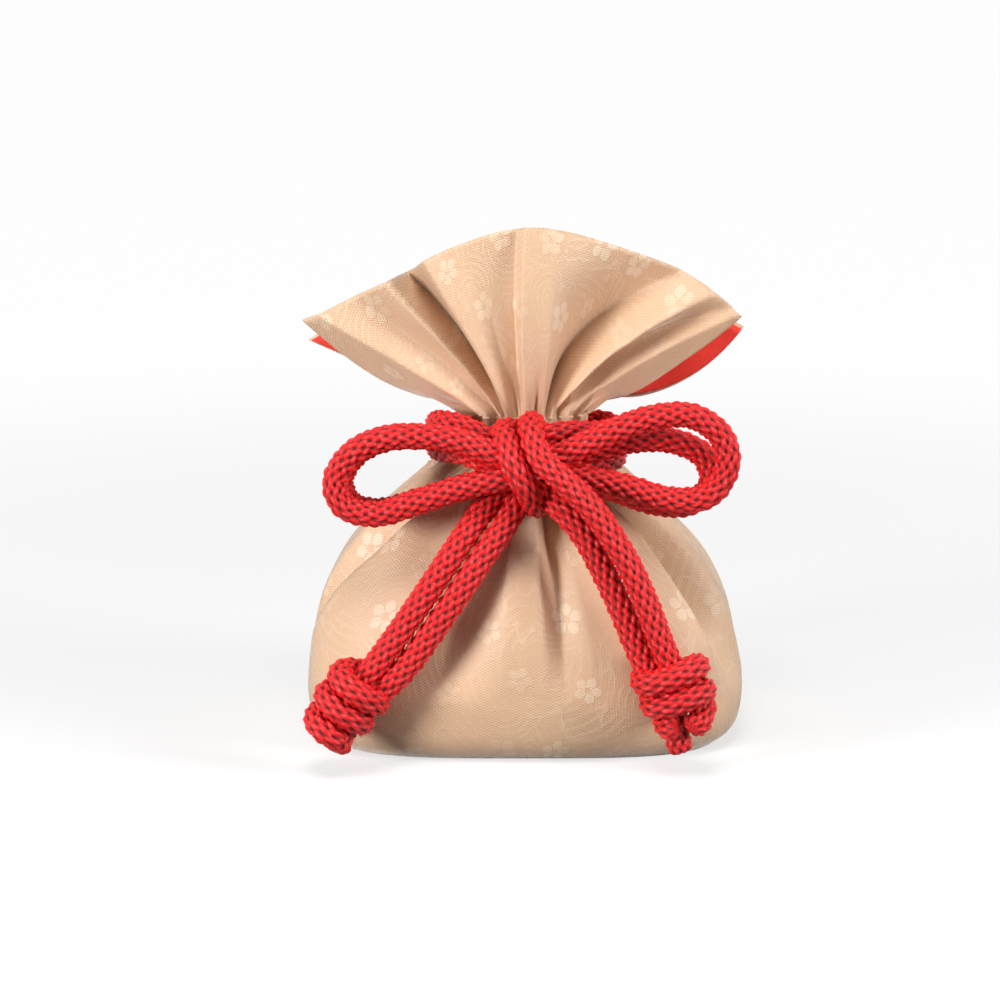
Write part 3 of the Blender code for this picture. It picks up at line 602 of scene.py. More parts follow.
def lining_plan(settings):
    """The lining: beside the outer cloth, and behind the cords between the channel's stitches."""
    beside = settings.lining_inset / MM

    def inset(height):
        in_channel = fade(height, CHANNEL_BOTTOM - 1.6, CHANNEL_BOTTOM) * (
            1.0 - fade(height, CHANNEL_TOP, NECK_TOP))
        wider = max(0.0, float(smooth_levels(min(height, NECK_TOP))[0]) - BAG_LEVELS[-1][1])
        return beside + (LINING_BEHIND_CORDS - beside + wider * in_channel) * in_channel

    def pleat_depth(height):
        in_channel = CHANNEL_BOTTOM - 1.0 <= height <= CHANNEL_TOP
        return LINING_CHANNEL_PLEAT if in_channel else settings.pleat_depth / MM

    heights = np.concatenate((np.linspace(0.0, 49.2, 27), np.linspace(SEAM_END, NECK_TOP, 14)))
    return PanelPlan(
        columns=172, base_rows=5, body_heights=heights, flap_rows=26,
        flap_end=LINING_FLAP_END, inset=inset, pleat_depth=pleat_depth, pleats=settings.pleats)


def add_piece(name, data):
    """A finished piece at the origin, unturned and unscaled."""
    piece = bpy.data.objects.new(name, data)
    bpy.context.scene.collection.objects.link(piece)
    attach(piece, "root")
    return piece


def give_wall(piece, thickness):
    """The cloth's thickness, inwards from its outside."""
    wall = piece.modifiers.new("cloth_thickness", "SOLIDIFY")
    wall.thickness = thickness
    wall.offset = -1.0


def stitch_mesh(name, plan, settings):
    """Stitches along the rows at both edges of the cords' channel, each a short piece of thread.

    A stitch follows the folded cloth. Its centreline is a cosine: it stands 0.35 of the thread's
    diameter out of the cloth in the middle, and lies half a diameter under it at both ends.
    """
    thread = settings.thread_diameter / MM
    length, gap = settings.stitch_length / MM, settings.stitch_gap / MM
    angle = np.linspace(0.0, 2.0 * math.pi, THREAD_SIDES + 1)[:-1, None]
    along = np.linspace(-0.5, 0.5, STITCH_RINGS)
    lift = (thread * (0.85 * np.cos(math.pi * along) - 0.50))[:, None]
    heights = np.concatenate((np.full(plan.base_rows, -1.0), plan.body_heights))
    tube = grid_faces(STITCH_RINGS, THREAD_SIDES, closed=True)[:, [0, 3, 2, 1]]
    first_end = np.arange(THREAD_SIDES)
    last_end = first_end[::-1] + THREAD_SIDES * (STITCH_RINGS - 1)
    rings, faces = [], []
    for side in (-1, 1):
        grid = folded_panel(side, plan)[1]
        for wanted in (CHANNEL_BOTTOM, CHANNEL_TOP):
            row = int(np.argmin(np.abs(heights - wanted)))
            line, above = grid[row], grid[row + 1]
            run = run_along(line)
            out = unit(np.cross(np.gradient(line, axis=0), above - line)) * -side
            out *= np.sign(np.sum(out[:, :2] * line[:, :2], axis=1))[:, None]
            count = int((run[-1] - 2.0 * gap) // (length + gap))
            for stitch in range(count):
                places = run[-1] * (stitch + 0.5) / count + along * length
                outward = unit(read_along(places, run, out))
                centre = read_along(places, run, line) + outward * lift
                across = unit(np.cross(np.gradient(centre, axis=0), outward))
                first = len(rings) * THREAD_SIDES * STITCH_RINGS
                rings.append(centre[:, None, :] + thread / 2.0 * (
                    outward[:, None, :] * np.cos(angle) + across[:, None, :] * np.sin(angle)))
                faces.extend((tube + first).tolist())
                faces.extend([(first_end + first).tolist(), (last_end + first).tolist()])
    data = bpy.data.meshes.new(name)
    data.from_pydata((np.array(rings).reshape(-1, 3) * MM).tolist(), [], faces)
    data.shade_smooth()
    return data


# Cords

def braid(around, along, yarns, row_length):
    """Height of a round braid's surface from 0 to 1, and each point's place across its yarn.

    Two sets of yarns turn round the cord, one each way. A yarn's height is a cosine across it,
    times a cosine along it that is high where it passes over and low where it dives under, and
    every second crossing is over. The surface is the higher one of the two sets.
    """
    first = around * yarns + along / (2.0 * row_length)
    second = around * yarns - along / (2.0 * row_length)
    first_yarn, second_yarn = np.round(first), np.round(second)
    over_first = 0.5 + 0.5 * np.cos(math.pi * (second + first_yarn))
    over_second = 0.5 - 0.5 * np.cos(math.pi * (first + second_yarn))
    first_height = np.cos(math.pi * (first - first_yarn)) * (0.30 + 0.70 * over_first)
    second_height = np.cos(math.pi * (second - second_yarn)) * (0.30 + 0.70 * over_second)
    height = np.maximum(first_height, second_height)
    across = np.where(first_height > second_height, first, second)
    return np.clip(height, 0.0, 1.0), across


def turning_frames(points):
    """Two directions square to the route at each point, carried along it without twisting."""
    tangent = unit(np.gradient(points, axis=0))
    side = unit(np.cross(tangent[0], (0.31, 0.42, 0.85)))
    sides = [side]
    for step in range(1, len(points)):
        side = side - tangent[step] * np.dot(side, tangent[step])
        side = side / np.linalg.norm(side)
        sides.append(side)
    sides = np.array(sides)
    return tangent, sides, np.cross(tangent, sides)


def braided_tube(name, route, settings):
    """A round braid carried along a route, closed with a slightly domed, frayed cut at each end.

    The radius is half the diameter, less the bump depth times the braid's missing height. Near
    each end it shrinks with the square root of the distance left.
    """
    points = even_route(route, CORD_RING_SPACING)
    tangent, side, other = turning_frames(points)
    run = np.arange(len(points)) * CORD_RING_SPACING
    around = np.arange(CORD_SIDES) / CORD_SIDES
    height, across = braid(around[None, :], run[:, None], settings.yarns, settings.row_length / MM)
    size = settings.diameter / MM / 2.0 - (settings.bump_depth / MM) * (1.0 - height)
    left = np.minimum(run, run[-1] - run)
    near_end = np.sqrt(np.clip(left / CUT_LENGTH, 0.0, 1.0))
    size = size * (1.0 - CUT_SHRINK + CUT_SHRINK * near_end)[:, None]
    angle = 2.0 * math.pi * around
    ring = (side[:, None, :] * np.cos(angle)[None, :, None]
            + other[:, None, :] * np.sin(angle)[None, :, None])
    shares = np.array(CUT_RINGS)
    lift = CUT_DOME * np.sqrt(1.0 - shares**2)
    wisp = 0.10 * np.sin(9.0 * angle + 1.3) + 0.08 * np.sin(14.0 * angle)
    dome = (lift[:, None] + wisp[None, :] * shares[:, None])[..., None]
    start_cap, end_cap = (
        points[end] + ring[end] * size[end][:, None] * shares[:, None, None]
        + tangent[end] * direction * dome for end, direction in ((0, -1.0), (-1, 1.0)))
    grid = np.concatenate((start_cap[::-1], points[:, None, :] + ring * size[..., None], end_cap))
    # The cut faces keep a high braid height, so they show the yarn's colour with little painted shade
    cut_height = np.broadcast_to(0.75 + 0.2 * np.sin(13.0 * angle), start_cap.shape[:2])
    cut_across = np.broadcast_to(around * 30.0, start_cap.shape[:2])
    height = np.concatenate((cut_height, height, cut_height))
    across = np.concatenate((cut_across, across, cut_across))
    ends = [grid[0].mean(axis=0) - tangent[0] * CUT_TIP,
            grid[-1].mean(axis=0) + tangent[-1] * CUT_TIP]
    vertices = np.concatenate((grid.reshape(-1, 3), ends)) * MM
    first, last = len(vertices) - 2, len(vertices) - 1
    here = np.arange(CORD_SIDES)
    after = np.roll(here, -1)
    caps = [np.stack([np.full(CORD_SIDES, first), after, here], axis=1),
            np.stack([np.full(CORD_SIDES, last), here + first - CORD_SIDES,
                      after + first - CORD_SIDES], axis=1)]
    faces = grid_faces(len(grid), CORD_SIDES, closed=True)
    data = bpy.data.meshes.new(name)
    data.from_pydata(vertices.tolist(), [], faces.tolist() + caps[0].tolist() + caps[1].tolist())
    for label, values in (("braid_height", height), ("yarn_place", across)):
        layer = data.attributes.new(label, "FLOAT", "POINT")
        layer.data.foreach_set("value", np.append(values.ravel(), (0.6, 0.6)).astype(np.float32))
    data.shade_smooth()
    data.update()
    return data


def channel_route(exit_side):
    """Turn of a cord in the channel, level with one tunnel and then across to the other's level."""
    half_width, half_depth = BAG_LEVELS[-1][1] - CORD_INSET, BAG_LEVELS[-1][2] - CORD_INSET
    angle = np.radians(np.linspace(42.0, 318.0, 24))
    rise = CORD_LEVEL_STEP * (1.0 - 2.0 * fade(np.degrees(angle), 155.0, 205.0))
    return np.stack([exit_side * half_width * np.cos(angle), -half_depth * np.sin(angle),
                     CORD_MIDDLE_LEVEL - exit_side * rise], axis=1)


def end_wraps(centre, direction, turn_count, half_width):
    """Turns of an end knot: a flattened helix round the two cords that run through it.

    Its front crossings slant more than its back ones, and it narrows towards its lower end.
    """
    axis = np.asarray(direction, float)
    axis /= np.linalg.norm(axis)
    depth = np.array((0.0, 1.0, 0.0))
    across = np.cross(depth, axis)
    turn = np.linspace(0.0, 2.0 * math.pi * turn_count, 48)
    travel = (turn / (2.0 * math.pi) - turn_count / 2.0) * WRAP_RISE + WRAP_SLANT * np.sin(turn)
    narrow = 1.0 - WRAP_TAPER * fade(turn, turn[-1] * 0.5, turn[-1])
    return (np.asarray(centre) + np.outer(travel, axis)
            + np.outer(half_width * narrow * np.sin(turn), across)
            + np.outer(WRAP_HALF_DEPTH * np.cos(turn), depth))


def strand_routes():
    """Each free strand, from the channel through the bow, round its loop and down to its end knot."""
    return {
        "left_cord_upper_strand": (LEFT_APPROACH_UPPER + INTO_LEFT_FRONT + LEFT_LOOP_FRONT
                                   + INTO_LEFT_BAND + LEFT_BAND + OUT_OF_LEFT_BAND + RIGHT_TAIL_BACK),
        "left_cord_lower_strand": (LEFT_APPROACH_LOWER + INTO_LEFT_BACK + LEFT_LOOP_BACK
                                   + INTO_RIGHT_TAIL_FRONT + RIGHT_TAIL_FRONT),
        "right_cord_upper_strand": (RIGHT_APPROACH_UPPER + INTO_RIGHT_OUTER + RIGHT_LOOP_OUTER
                                    + INTO_LEFT_TAIL_OUTER + LEFT_TAIL_OUTER),
        "right_cord_lower_strand": (RIGHT_APPROACH_LOWER + INTO_RIGHT_INNER + RIGHT_LOOP_INNER
                                    + INTO_LEFT_TAIL_INNER + LEFT_TAIL_INNER),
    }


# Nodes

class NodeSheet:
    """Adds nodes to one tree and joins them.

    A value that is given to a node is either a plain one or another node's output.
    """

    def __init__(self, tree):
        self.tree = tree

    def feed(self, socket, value):
        if isinstance(value, bpy.types.NodeSocket):
            self.tree.links.new(value, socket)
        else:
            socket.default_value = value

    def add(self, kind, inputs=None, **options):
        node = self.tree.nodes.new(kind)
        for option, value in options.items():
            setattr(node, option, value)
        for socket, value in (inputs or {}).items():
            self.feed(node.inputs[socket], value)
        return node

    def math(self, operation, *values, clamp=False):
        node = self.add("ShaderNodeMath", operation=operation, use_clamp=clamp)
        for socket, value in zip(node.inputs, values):
            self.feed(socket, value)
        return node.outputs[0]

    def plus(self, first, second, clamp=False):
        return self.math("ADD", first, second, clamp=clamp)

    def minus(self, first, second, clamp=False):
        return self.math("SUBTRACT", first, second, clamp=clamp)

    def times(self, first, second):
        return self.math("MULTIPLY", first, second)

    def vector(self, operation, *values):
        node = self.add("ShaderNodeVectorMath", operation=operation)
        for socket, value in zip(node.inputs, values):
            self.feed(socket, value)
        return node.outputs["Value" if operation == "LENGTH" else "Vector"]

    def step(self, value, low, high):
        """Smooth step of a value from 0 at low to 1 at high."""
        node = self.add("ShaderNodeMapRange", {"Value": value, "From Min": low, "From Max": high},
                        interpolation_type="SMOOTHSTEP")
        return node.outputs["Result"]

    def mix(self, factor, first, second):
        node = self.add("ShaderNodeMix", data_type="RGBA")
        self.feed(node.inputs[0], factor)
        self.feed(node.inputs[6], first)
        self.feed(node.inputs[7], second)
        return node.outputs[2]


def new_group(name, inputs, outputs):
    """An empty shader node group with its sockets: each a name, a kind and, for inputs, a default."""
    group = bpy.data.node_groups.new(name, "ShaderNodeTree")
    for label, kind, default in inputs:
        socket = group.interface.new_socket(name=label, in_out="INPUT", socket_type=kind)
        if default is not None:
            socket.default_value = default
    for label, kind in outputs:
        group.interface.new_socket(name=label, in_out="OUTPUT", socket_type=kind)
    sheet = NodeSheet(group)
    return group, sheet, sheet.add("NodeGroupInput"), sheet.add("NodeGroupOutput")


def place_group(sheet, group, inputs):
    """The outputs of a group that is placed in a material with its own values."""
    return sheet.add("ShaderNodeGroup", inputs, node_tree=group).outputs


def noise(sheet, vector, scale, detail, **more):
    """Noise between 0 and 1 over a vector."""
    inputs = {"Vector": vector, "Scale": scale, "Detail": detail, **more}
    return sheet.add("ShaderNodeTexNoise", inputs).outputs["Fac"]


def weave_group():
    """Threads of a woven cloth.

    Weft ridges cross the cloth, each thread's height is a sine that the warp threads interrupt
    by half a pitch in every second column, and slow noise makes some threads thicker.
    """
    if "Woven Threads" in bpy.data.node_groups:
        return bpy.data.node_groups["Woven Threads"]
    group, sheet, given, result = new_group(
        "Woven Threads",
        (("Vector", "NodeSocketVector", None), ("Pitch", "NodeSocketFloat", 0.0005),
         ("Slubs", "NodeSocketFloat", 0.5)),
        (("Height", "NodeSocketFloat"), ("Shade", "NodeSocketFloat")))
    cloth, pitch = given.outputs["Vector"], given.outputs["Pitch"]
    parts = sheet.add("ShaderNodeSeparateXYZ", {"Vector": cloth})
    shift = sheet.times(sheet.minus(noise(sheet, cloth, 260.0, 2.0), 0.5), 0.8)
    u = sheet.math("DIVIDE", parts.outputs["X"], pitch)
    v = sheet.plus(sheet.math("DIVIDE", parts.outputs["Y"], pitch), shift)
    column = sheet.times(sheet.math("MODULO", sheet.math("FLOOR", u), 2.0), 0.5)
    weft = sheet.math("SINE", sheet.times(sheet.plus(v, column), 2.0 * math.pi))
    warp = sheet.math("SINE", sheet.times(u, 2.0 * math.pi))
    threads = sheet.plus(sheet.times(weft, 0.36), sheet.times(warp, 0.14))
    stretched = sheet.vector("MULTIPLY", cloth, (400.0, 2400.0, 1.0))
    slubs = sheet.times(sheet.minus(noise(sheet, stretched, 1.0, 2.0), 0.5), given.outputs["Slubs"])
    height = sheet.plus(sheet.plus(threads, 0.5), slubs)
    sheet.feed(result.inputs["Height"], height)
    sheet.feed(result.inputs["Shade"], sheet.step(height, 0.0, 0.7))
    return group


def rings_round_points(sheet, cloth, scale, randomness, fineness):
    """A sine of the distance to the nearest of some scattered points."""
    inputs = {"Vector": cloth, "Scale": scale, "Randomness": randomness}
    points = sheet.add("ShaderNodeTexVoronoi", inputs, voronoi_dimensions="2D")
    return sheet.math("SINE", sheet.times(points.outputs["Distance"], fineness))


def figure_group():
    """Woven figures: five-petalled blossoms, ring scrolls and winding stems. 1 on a figure.

    A blossom stands in each cell of a staggered grid, moved and turned by a random amount, and
    its edge radius is a share of its size times |cos(2.5 angle)|. Scrolls and wide waves are rings
    round scattered points, kept only in patches. Stems are the middle contour of a slow noise.
    """
    group, sheet, given, result = new_group(
        "Woven Figures",
        (("Vector", "NodeSocketVector", None), ("Repeat", "NodeSocketFloat", 0.0125)),
        (("Mask", "NodeSocketFloat"),))
    cloth, repeat = given.outputs["Vector"], given.outputs["Repeat"]
    # Blossoms
    parts = sheet.add("ShaderNodeSeparateXYZ", {"Vector": cloth})
    v = sheet.math("DIVIDE", parts.outputs["Y"], repeat)
    row = sheet.math("FLOOR", v)
    stagger = sheet.times(sheet.math("MODULO", row, 2.0), 0.5)
    u = sheet.plus(sheet.math("DIVIDE", parts.outputs["X"], repeat), stagger)
    cell = sheet.add("ShaderNodeCombineXYZ", {"X": sheet.math("FLOOR", u), "Y": row})
    chance = sheet.add("ShaderNodeTexWhiteNoise", {"Vector": cell.outputs[0]}, noise_dimensions="3D")
    centred = sheet.vector("SUBTRACT", chance.outputs["Color"], (0.5, 0.5, 0.5))
    jitter = sheet.vector("MULTIPLY", centred, (0.36, 0.36, 0.0))
    inside = sheet.add("ShaderNodeCombineXYZ", {
        "X": sheet.minus(sheet.math("FRACT", u), 0.5), "Y": sheet.minus(sheet.math("FRACT", v), 0.5)})
    away = sheet.vector("SUBTRACT", inside.outputs[0], jitter)
    away_parts = sheet.add("ShaderNodeSeparateXYZ", {"Vector": away}).outputs
    radius = sheet.vector("LENGTH", away)
    turn = sheet.times(chance.outputs["Value"], 6.283)
    angle = sheet.plus(sheet.math("ARCTAN2", away_parts["Y"], away_parts["X"]), turn)
    lobe = sheet.math("ABSOLUTE", sheet.math("COSINE", sheet.times(angle, 2.5)))
    size = sheet.plus(0.19, sheet.times(chance.outputs["Value"], 0.09))
    edge = sheet.times(size, sheet.plus(0.62, sheet.times(lobe, 0.38)))
    reach = sheet.math("DIVIDE", radius, edge)
    petal = sheet.minus(1.0, sheet.step(reach, 0.86, 1.04))
    heart = sheet.step(reach, 0.20, 0.32)
    vein = sheet.math("MAXIMUM", sheet.step(lobe, 0.05, 0.28),
                      sheet.minus(1.0, sheet.step(radius, 0.05, 0.08)))
    blossom = sheet.times(sheet.times(petal, heart), vein)
    near_blossom = sheet.step(sheet.math("DIVIDE", radius, size), 1.15, 1.4)
    # Scrolls, stems and wide waves, each in its own patches
    patch = noise(sheet, cloth, 52.0, 1.0)
    rings = rings_round_points(sheet, cloth, 62.0, 0.85, 76.0)
    scroll = sheet.times(sheet.step(rings, 0.15, 0.75),
                         sheet.times(sheet.step(patch, 0.50, 0.58), 0.45))
    winding = noise(sheet, cloth, 165.0, 1.5, Distortion=0.6)
    stem_distance = sheet.math("ABSOLUTE", sheet.minus(winding, 0.5))
    line = sheet.minus(0.6, sheet.step(stem_distance, 0.010, 0.034), clamp=True)
    stem = sheet.times(line, sheet.minus(1.0, sheet.step(patch, 0.50, 0.54)))
    waves = rings_round_points(sheet, cloth, 23.0, 0.7, 150.0)
    arc = sheet.times(sheet.step(waves, 0.0, 0.7),
                      sheet.times(sheet.minus(1.0, sheet.step(patch, 0.42, 0.52)), 0.38))
    lines = sheet.math("MAXIMUM", sheet.math("MAXIMUM", scroll, stem), arc)
    mask = sheet.math("MAXIMUM", blossom, sheet.times(lines, near_blossom))
    sheet.feed(result.inputs["Mask"], mask)
    return group


def fine_noise_group():
    """Uneven dye and handling: slow and fine noise on Object coordinates, 0 to 1."""
    if "Uneven Dye" in bpy.data.node_groups:
        return bpy.data.node_groups["Uneven Dye"]
    group, sheet, given, result = new_group(
        "Uneven Dye",
        (("Vector", "NodeSocketVector", None), ("Slow", "NodeSocketFloat", 60.0),
         ("Fine", "NodeSocketFloat", 900.0)),
        (("Tint", "NodeSocketFloat"), ("Grain", "NodeSocketFloat")))
    place = given.outputs["Vector"]
    sheet.feed(result.inputs["Tint"], noise(sheet, place, given.outputs["Slow"], 3.0))
    sheet.feed(result.inputs["Grain"], noise(sheet, place, given.outputs["Fine"], 2.0))
    return group


def new_material(name, roughness, sheen, sheen_tint):
    """A material with an empty Principled shader, its plain values set on the shader itself."""
    material = bpy.data.materials.new(name)
    material.use_nodes = True
    sheet = NodeSheet(material.node_tree)
    shader = material.node_tree.nodes["Principled BSDF"]
    shader.inputs["Roughness"].default_value = roughness
    shader.inputs["Sheen Weight"].default_value = sheen
    shader.inputs["Sheen Roughness"].default_value = 0.35
    shader.inputs["Sheen Tint"].default_value = sheen_tint
    shader.inputs["IOR"].default_value = 1.45
    return material, sheet, shader


def add_bump(sheet, shader, height, distance, strength):
    """Relief on a shader: a height, and how far a height of 1 stands out in metres."""
    bump = sheet.add("ShaderNodeBump", {"Height": height, "Distance": distance, "Strength": strength})
    sheet.feed(shader.inputs["Normal"], bump.outputs["Normal"])


def scaled(sheet, colour, share):
    """A colour darkened or lightened by a share that changes over the surface."""
    return sheet.vector("MULTIPLY", colour, sheet.add(
        "ShaderNodeCombineXYZ", {"X": share, "Y": share, "Z": share}).outputs[0])


def woven_cloth(sheet, pitch, slubs, thread_share, dye_share):
    """The weave of a cloth on its UV map, the dye over it, and how much both change its colour."""
    flat = sheet.add("ShaderNodeUVMap", uv_map="flat_cloth").outputs["UV"]
    body = sheet.add("ShaderNodeTexCoord").outputs["Object"]
    weave = place_group(sheet, weave_group(), {"Vector": flat, "Pitch": pitch, "Slubs": slubs})
    dye = place_group(sheet, fine_noise_group(), {"Vector": body})
    threads = sheet.times(sheet.minus(weave["Shade"], 0.5), thread_share)
    tint = sheet.times(sheet.minus(dye["Tint"], 0.5), dye_share)
    return flat, weave["Height"], dye["Tint"], sheet.plus(sheet.plus(1.0, threads), tint)


def brocade_material(settings):
    """The outer cloth: a ground of fine weft ridges with smoother, lighter woven figures."""
    material, sheet, shader = new_material("figured_brocade", 0.5, 0.60, (1.0, 0.96, 0.88, 1.0))
    shader.inputs["Specular IOR Level"].default_value = 0.7
    flat, ridges, tint, share = woven_cloth(sheet, settings.weave_pitch, 0.5, 0.16, 0.14)
    figures = place_group(sheet, figure_group(), {"Vector": flat})["Mask"]
    clearness = sheet.times(figures, sheet.step(tint, 0.30, 0.70))
    colour = sheet.mix(clearness, tuple(settings.ground_colour), tuple(settings.figure_colour))
    sheet.feed(shader.inputs["Base Color"], scaled(sheet, colour, share))
    sheet.feed(shader.inputs["Roughness"], sheet.minus(0.50, sheet.times(figures, 0.10)))
    add_bump(sheet, shader, sheet.plus(ridges, sheet.times(figures, 0.9)), 0.00012, 0.55)
    return material


def lining_material(settings):
    """The lining: a plain, fine, soft red weave."""
    material, sheet, shader = new_material("red_lining", 0.62, 0.15, (1.0, 0.55, 0.5, 1.0))
    _, ridges, _, share = woven_cloth(sheet, 0.00036, 0.25, 0.18, 0.12)
    sheet.feed(shader.inputs["Base Color"], scaled(sheet, tuple(settings.lining_colour)[:3], share))
    add_bump(sheet, shader, ridges, 0.0001, 0.4)
    return material


def cord_material(settings):
    """Glossy dyed yarn: the yarn's own colour on the bumps, painted shade between them, with
    filaments along each yarn.
    """
    material, sheet, shader = new_material("braided_yarn", 0.42, 0.02, (1.0, 0.2, 0.2, 1.0))
    height = sheet.add("ShaderNodeAttribute", attribute_name="braid_height").outputs["Fac"]
    place = sheet.add("ShaderNodeAttribute", attribute_name="yarn_place").outputs["Fac"]
    body = sheet.add("ShaderNodeTexCoord").outputs["Object"]
    dye = place_group(sheet, fine_noise_group(), {"Vector": body, "Slow": 240.0, "Fine": 2600.0})
    # Painted shade: from the shade colour low between the bumps to the yarn's own colour on them; the
    # same share makes the bumps glossier
    lit_bump_share = sheet.step(height, 0.20, 0.78)
    filament = sheet.math("SINE", sheet.times(place, 2.0 * math.pi * 7.0))
    frayed = sheet.plus(sheet.times(filament, 0.5), sheet.times(dye["Grain"], 0.8))
    colour = sheet.mix(lit_bump_share, tuple(settings.gap_shade_colour), tuple(settings.bump_colour))
    uneven = sheet.plus(sheet.times(filament, 0.07), sheet.times(dye["Tint"], 0.26))
    sheet.feed(shader.inputs["Base Color"], scaled(sheet, colour, sheet.plus(0.86, uneven)))
    sheet.feed(shader.inputs["Roughness"], sheet.minus(0.62, sheet.times(lit_bump_share, 0.22)))
    add_bump(sheet, shader, frayed, 0.00009, 0.5)
    return material


def thread_material(settings):
    """Sewing thread: two twisted plies shown as slanting ridges on Object coordinates."""
    material, sheet, shader = new_material("sewing_thread", 0.5, 0.2, (1.0, 0.95, 0.9, 1.0))
    body = sheet.add("ShaderNodeTexCoord").outputs["Object"]
    wave = sheet.add("ShaderNodeTexWave", {"Vector": body, "Scale": 900.0, "Distortion": 0.4},
                     bands_direction="DIAGONAL")
    share = sheet.plus(0.85, sheet.times(wave.outputs["Fac"], 0.2))
    sheet.feed(shader.inputs["Base Color"], scaled(sheet, tuple(settings.thread_colour)[:3], share))
    add_bump(sheet, shader, wave.outputs["Fac"], 0.00006, 0.5)
    return material


def material_once(name, build, settings):
    """The material of that name, built the first time it is asked for."""
    return bpy.data.materials.get(name) or build(settings)


# Operators

class POUCH_OT_outer_cloth(bpy.types.Operator):
    """Build the patterned outer cloth, gathered at the neck and fanned out above it"""
    bl_idname = "pouch.outer_cloth"
    bl_label = "Outer Cloth"

    def execute(self, context):
        settings = context.scene.pouch_cloth
        cloth = add_piece("outer_cloth", cloth_mesh("outer_cloth", outer_plan(settings)))
        cloth.data.materials.append(material_once("figured_brocade", brocade_material, settings))
        give_wall(cloth, settings.outer_thickness)
        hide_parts("outer_bag")
        return {"FINISHED"}


class POUCH_OT_lining_cloth(bpy.types.Operator):
    """Build the red lining, sewn in beside the outer cloth and behind the cords"""
    bl_idname = "pouch.lining_cloth"
    bl_label = "Lining Cloth"

    def execute(self, context):
        settings = context.scene.pouch_cloth
        cloth = add_piece("lining_cloth", cloth_mesh("lining_cloth", lining_plan(settings)))
        cloth.data.materials.append(material_once("red_lining", lining_material, settings))
        give_wall(cloth, settings.lining_thickness)
        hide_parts("lining_bag")
        return {"FINISHED"}


class POUCH_OT_channel_stitches(bpy.types.Operator):
    """Build the two rows of stitches that hold the cords' channel"""
    bl_idname = "pouch.channel_stitches"
    bl_label = "Channel Stitches"

    def execute(self, context):
        settings = context.scene.pouch_cloth
        data = stitch_mesh("channel_stitches", outer_plan(settings), settings)
        stitches = add_piece("channel_stitches", data)
        stitches.data.materials.append(material_once("sewing_thread", thread_material, settings))
        return {"FINISHED"}


class POUCH_OT_end_knots(bpy.types.Operator):
    """Build the wraps of both end knots"""
    bl_idname = "pouch.end_knots"
    bl_label = "End Knots"

    def execute(self, context):
        settings = context.scene.pouch_cord
        for name, knot, node in (("right_end_knot", RIGHT_END_KNOT, "left_drawcord"),
                                 ("left_end_knot", LEFT_END_KNOT, "right_drawcord")):
            wraps = add_piece(name, braided_tube(name, end_wraps(*knot), settings))
            wraps.data.materials.append(material_once("braided_yarn", cord_material, settings))
            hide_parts(node)
        return {"FINISHED"}


class POUCH_OT_drawcords(bpy.types.Operator):
    """Build the two cords: their turns in the channel and their four free strands"""
    bl_idname = "pouch.drawcords"
    bl_label = "Drawcords"

    def execute(self, context):
        settings = context.scene.pouch_cord
        yarn = material_once("braided_yarn", cord_material, settings)
        for name, exit_side, node in (("left_cord_in_channel", -1, "left_drawcord"),
                                      ("right_cord_in_channel", 1, "right_drawcord")):
            turn = add_piece(name, braided_tube(name, channel_route(exit_side), settings))
            turn.data.materials.append(yarn)
            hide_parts(node)
        for name, route in strand_routes().items():
            from_left = name.startswith("left")
            strand = add_piece(name, braided_tube(name, route, settings))
            strand.data.materials.append(yarn)
            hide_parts("left_drawcord" if from_left else "right_drawcord")
            path = even_route(route, 0.5) * MM
            [tuple(point) for point in even_route(route, 6.0) * MM]
        return {"FINISHED"}


class POUCH_OT_stage(bpy.types.Operator):
    """Set up the pale floor, the soft lights and the camera"""
    bl_idname = "pouch.stage"
    bl_label = "Stage"

    def execute(self, context):
        settings = context.scene.pouch_stage
        add_floor(settings)
        add_world(settings)
        for name, place, size, power in LIGHTS:
            add_lamp(name, place, size, getattr(settings, power))
        add_camera()
        context.scene.view_settings.view_transform = "Standard"
        return {"FINISHED"}


def seen_directly(sheet):
    """1 for rays that show a background as it is: from the camera, a mirror or through glass."""
    path = sheet.add("ShaderNodeLightPath")
    shown = sheet.plus(path.outputs["Is Camera Ray"], path.outputs["Is Glossy Ray"])
    return sheet.plus(shown, path.outputs["Is Transmission Ray"], clamp=True)


def add_floor(settings):
    """A wide floor just under the pouch: pale where it is seen, dim where it lights the pouch.

    It takes the pouch's shadow near the middle, and is paler further out.
    """
    half = settings.floor_size / 2.0
    data = bpy.data.meshes.new("pale_floor")
    corners = ((-half, -half), (half, -half), (half, half), (-half, half))
    data.from_pydata([(x, y, -0.0002) for x, y in corners], [], [(0, 1, 2, 3)])
    floor = bpy.data.objects.new("pale_floor", data)
    bpy.context.scene.collection.objects.link(floor)
    material = bpy.data.materials.new("pale_floor")
    material.use_nodes = True
    nodes = material.node_tree.nodes
    nodes.clear()
    sheet = NodeSheet(material.node_tree)
    shown = seen_directly(sheet)
    tone = sheet.mix(shown, (0.05, 0.045, 0.045, 1.0), (0.92, 0.92, 0.92, 1.0))
    paper = sheet.add("ShaderNodeBsdfDiffuse", {"Color": tone})
    glow = sheet.add("ShaderNodeEmission", {"Color": (1.0, 1.0, 1.0, 1.0), "Strength": 1.0})
    place = sheet.add("ShaderNodeTexCoord").outputs["Object"]
    away = sheet.step(sheet.vector("LENGTH", place), 0.06, 0.45)
    paleness = sheet.plus(0.60, sheet.times(away, 0.385))
    blend = sheet.add("ShaderNodeMixShader", {"Fac": sheet.times(shown, paleness)})
    sheet.feed(blend.inputs[1], paper.outputs[0])
    sheet.feed(blend.inputs[2], glow.outputs[0])
    output = sheet.add("ShaderNodeOutputMaterial")
    sheet.feed(output.inputs["Surface"], blend.outputs[0])
    data.materials.append(material)


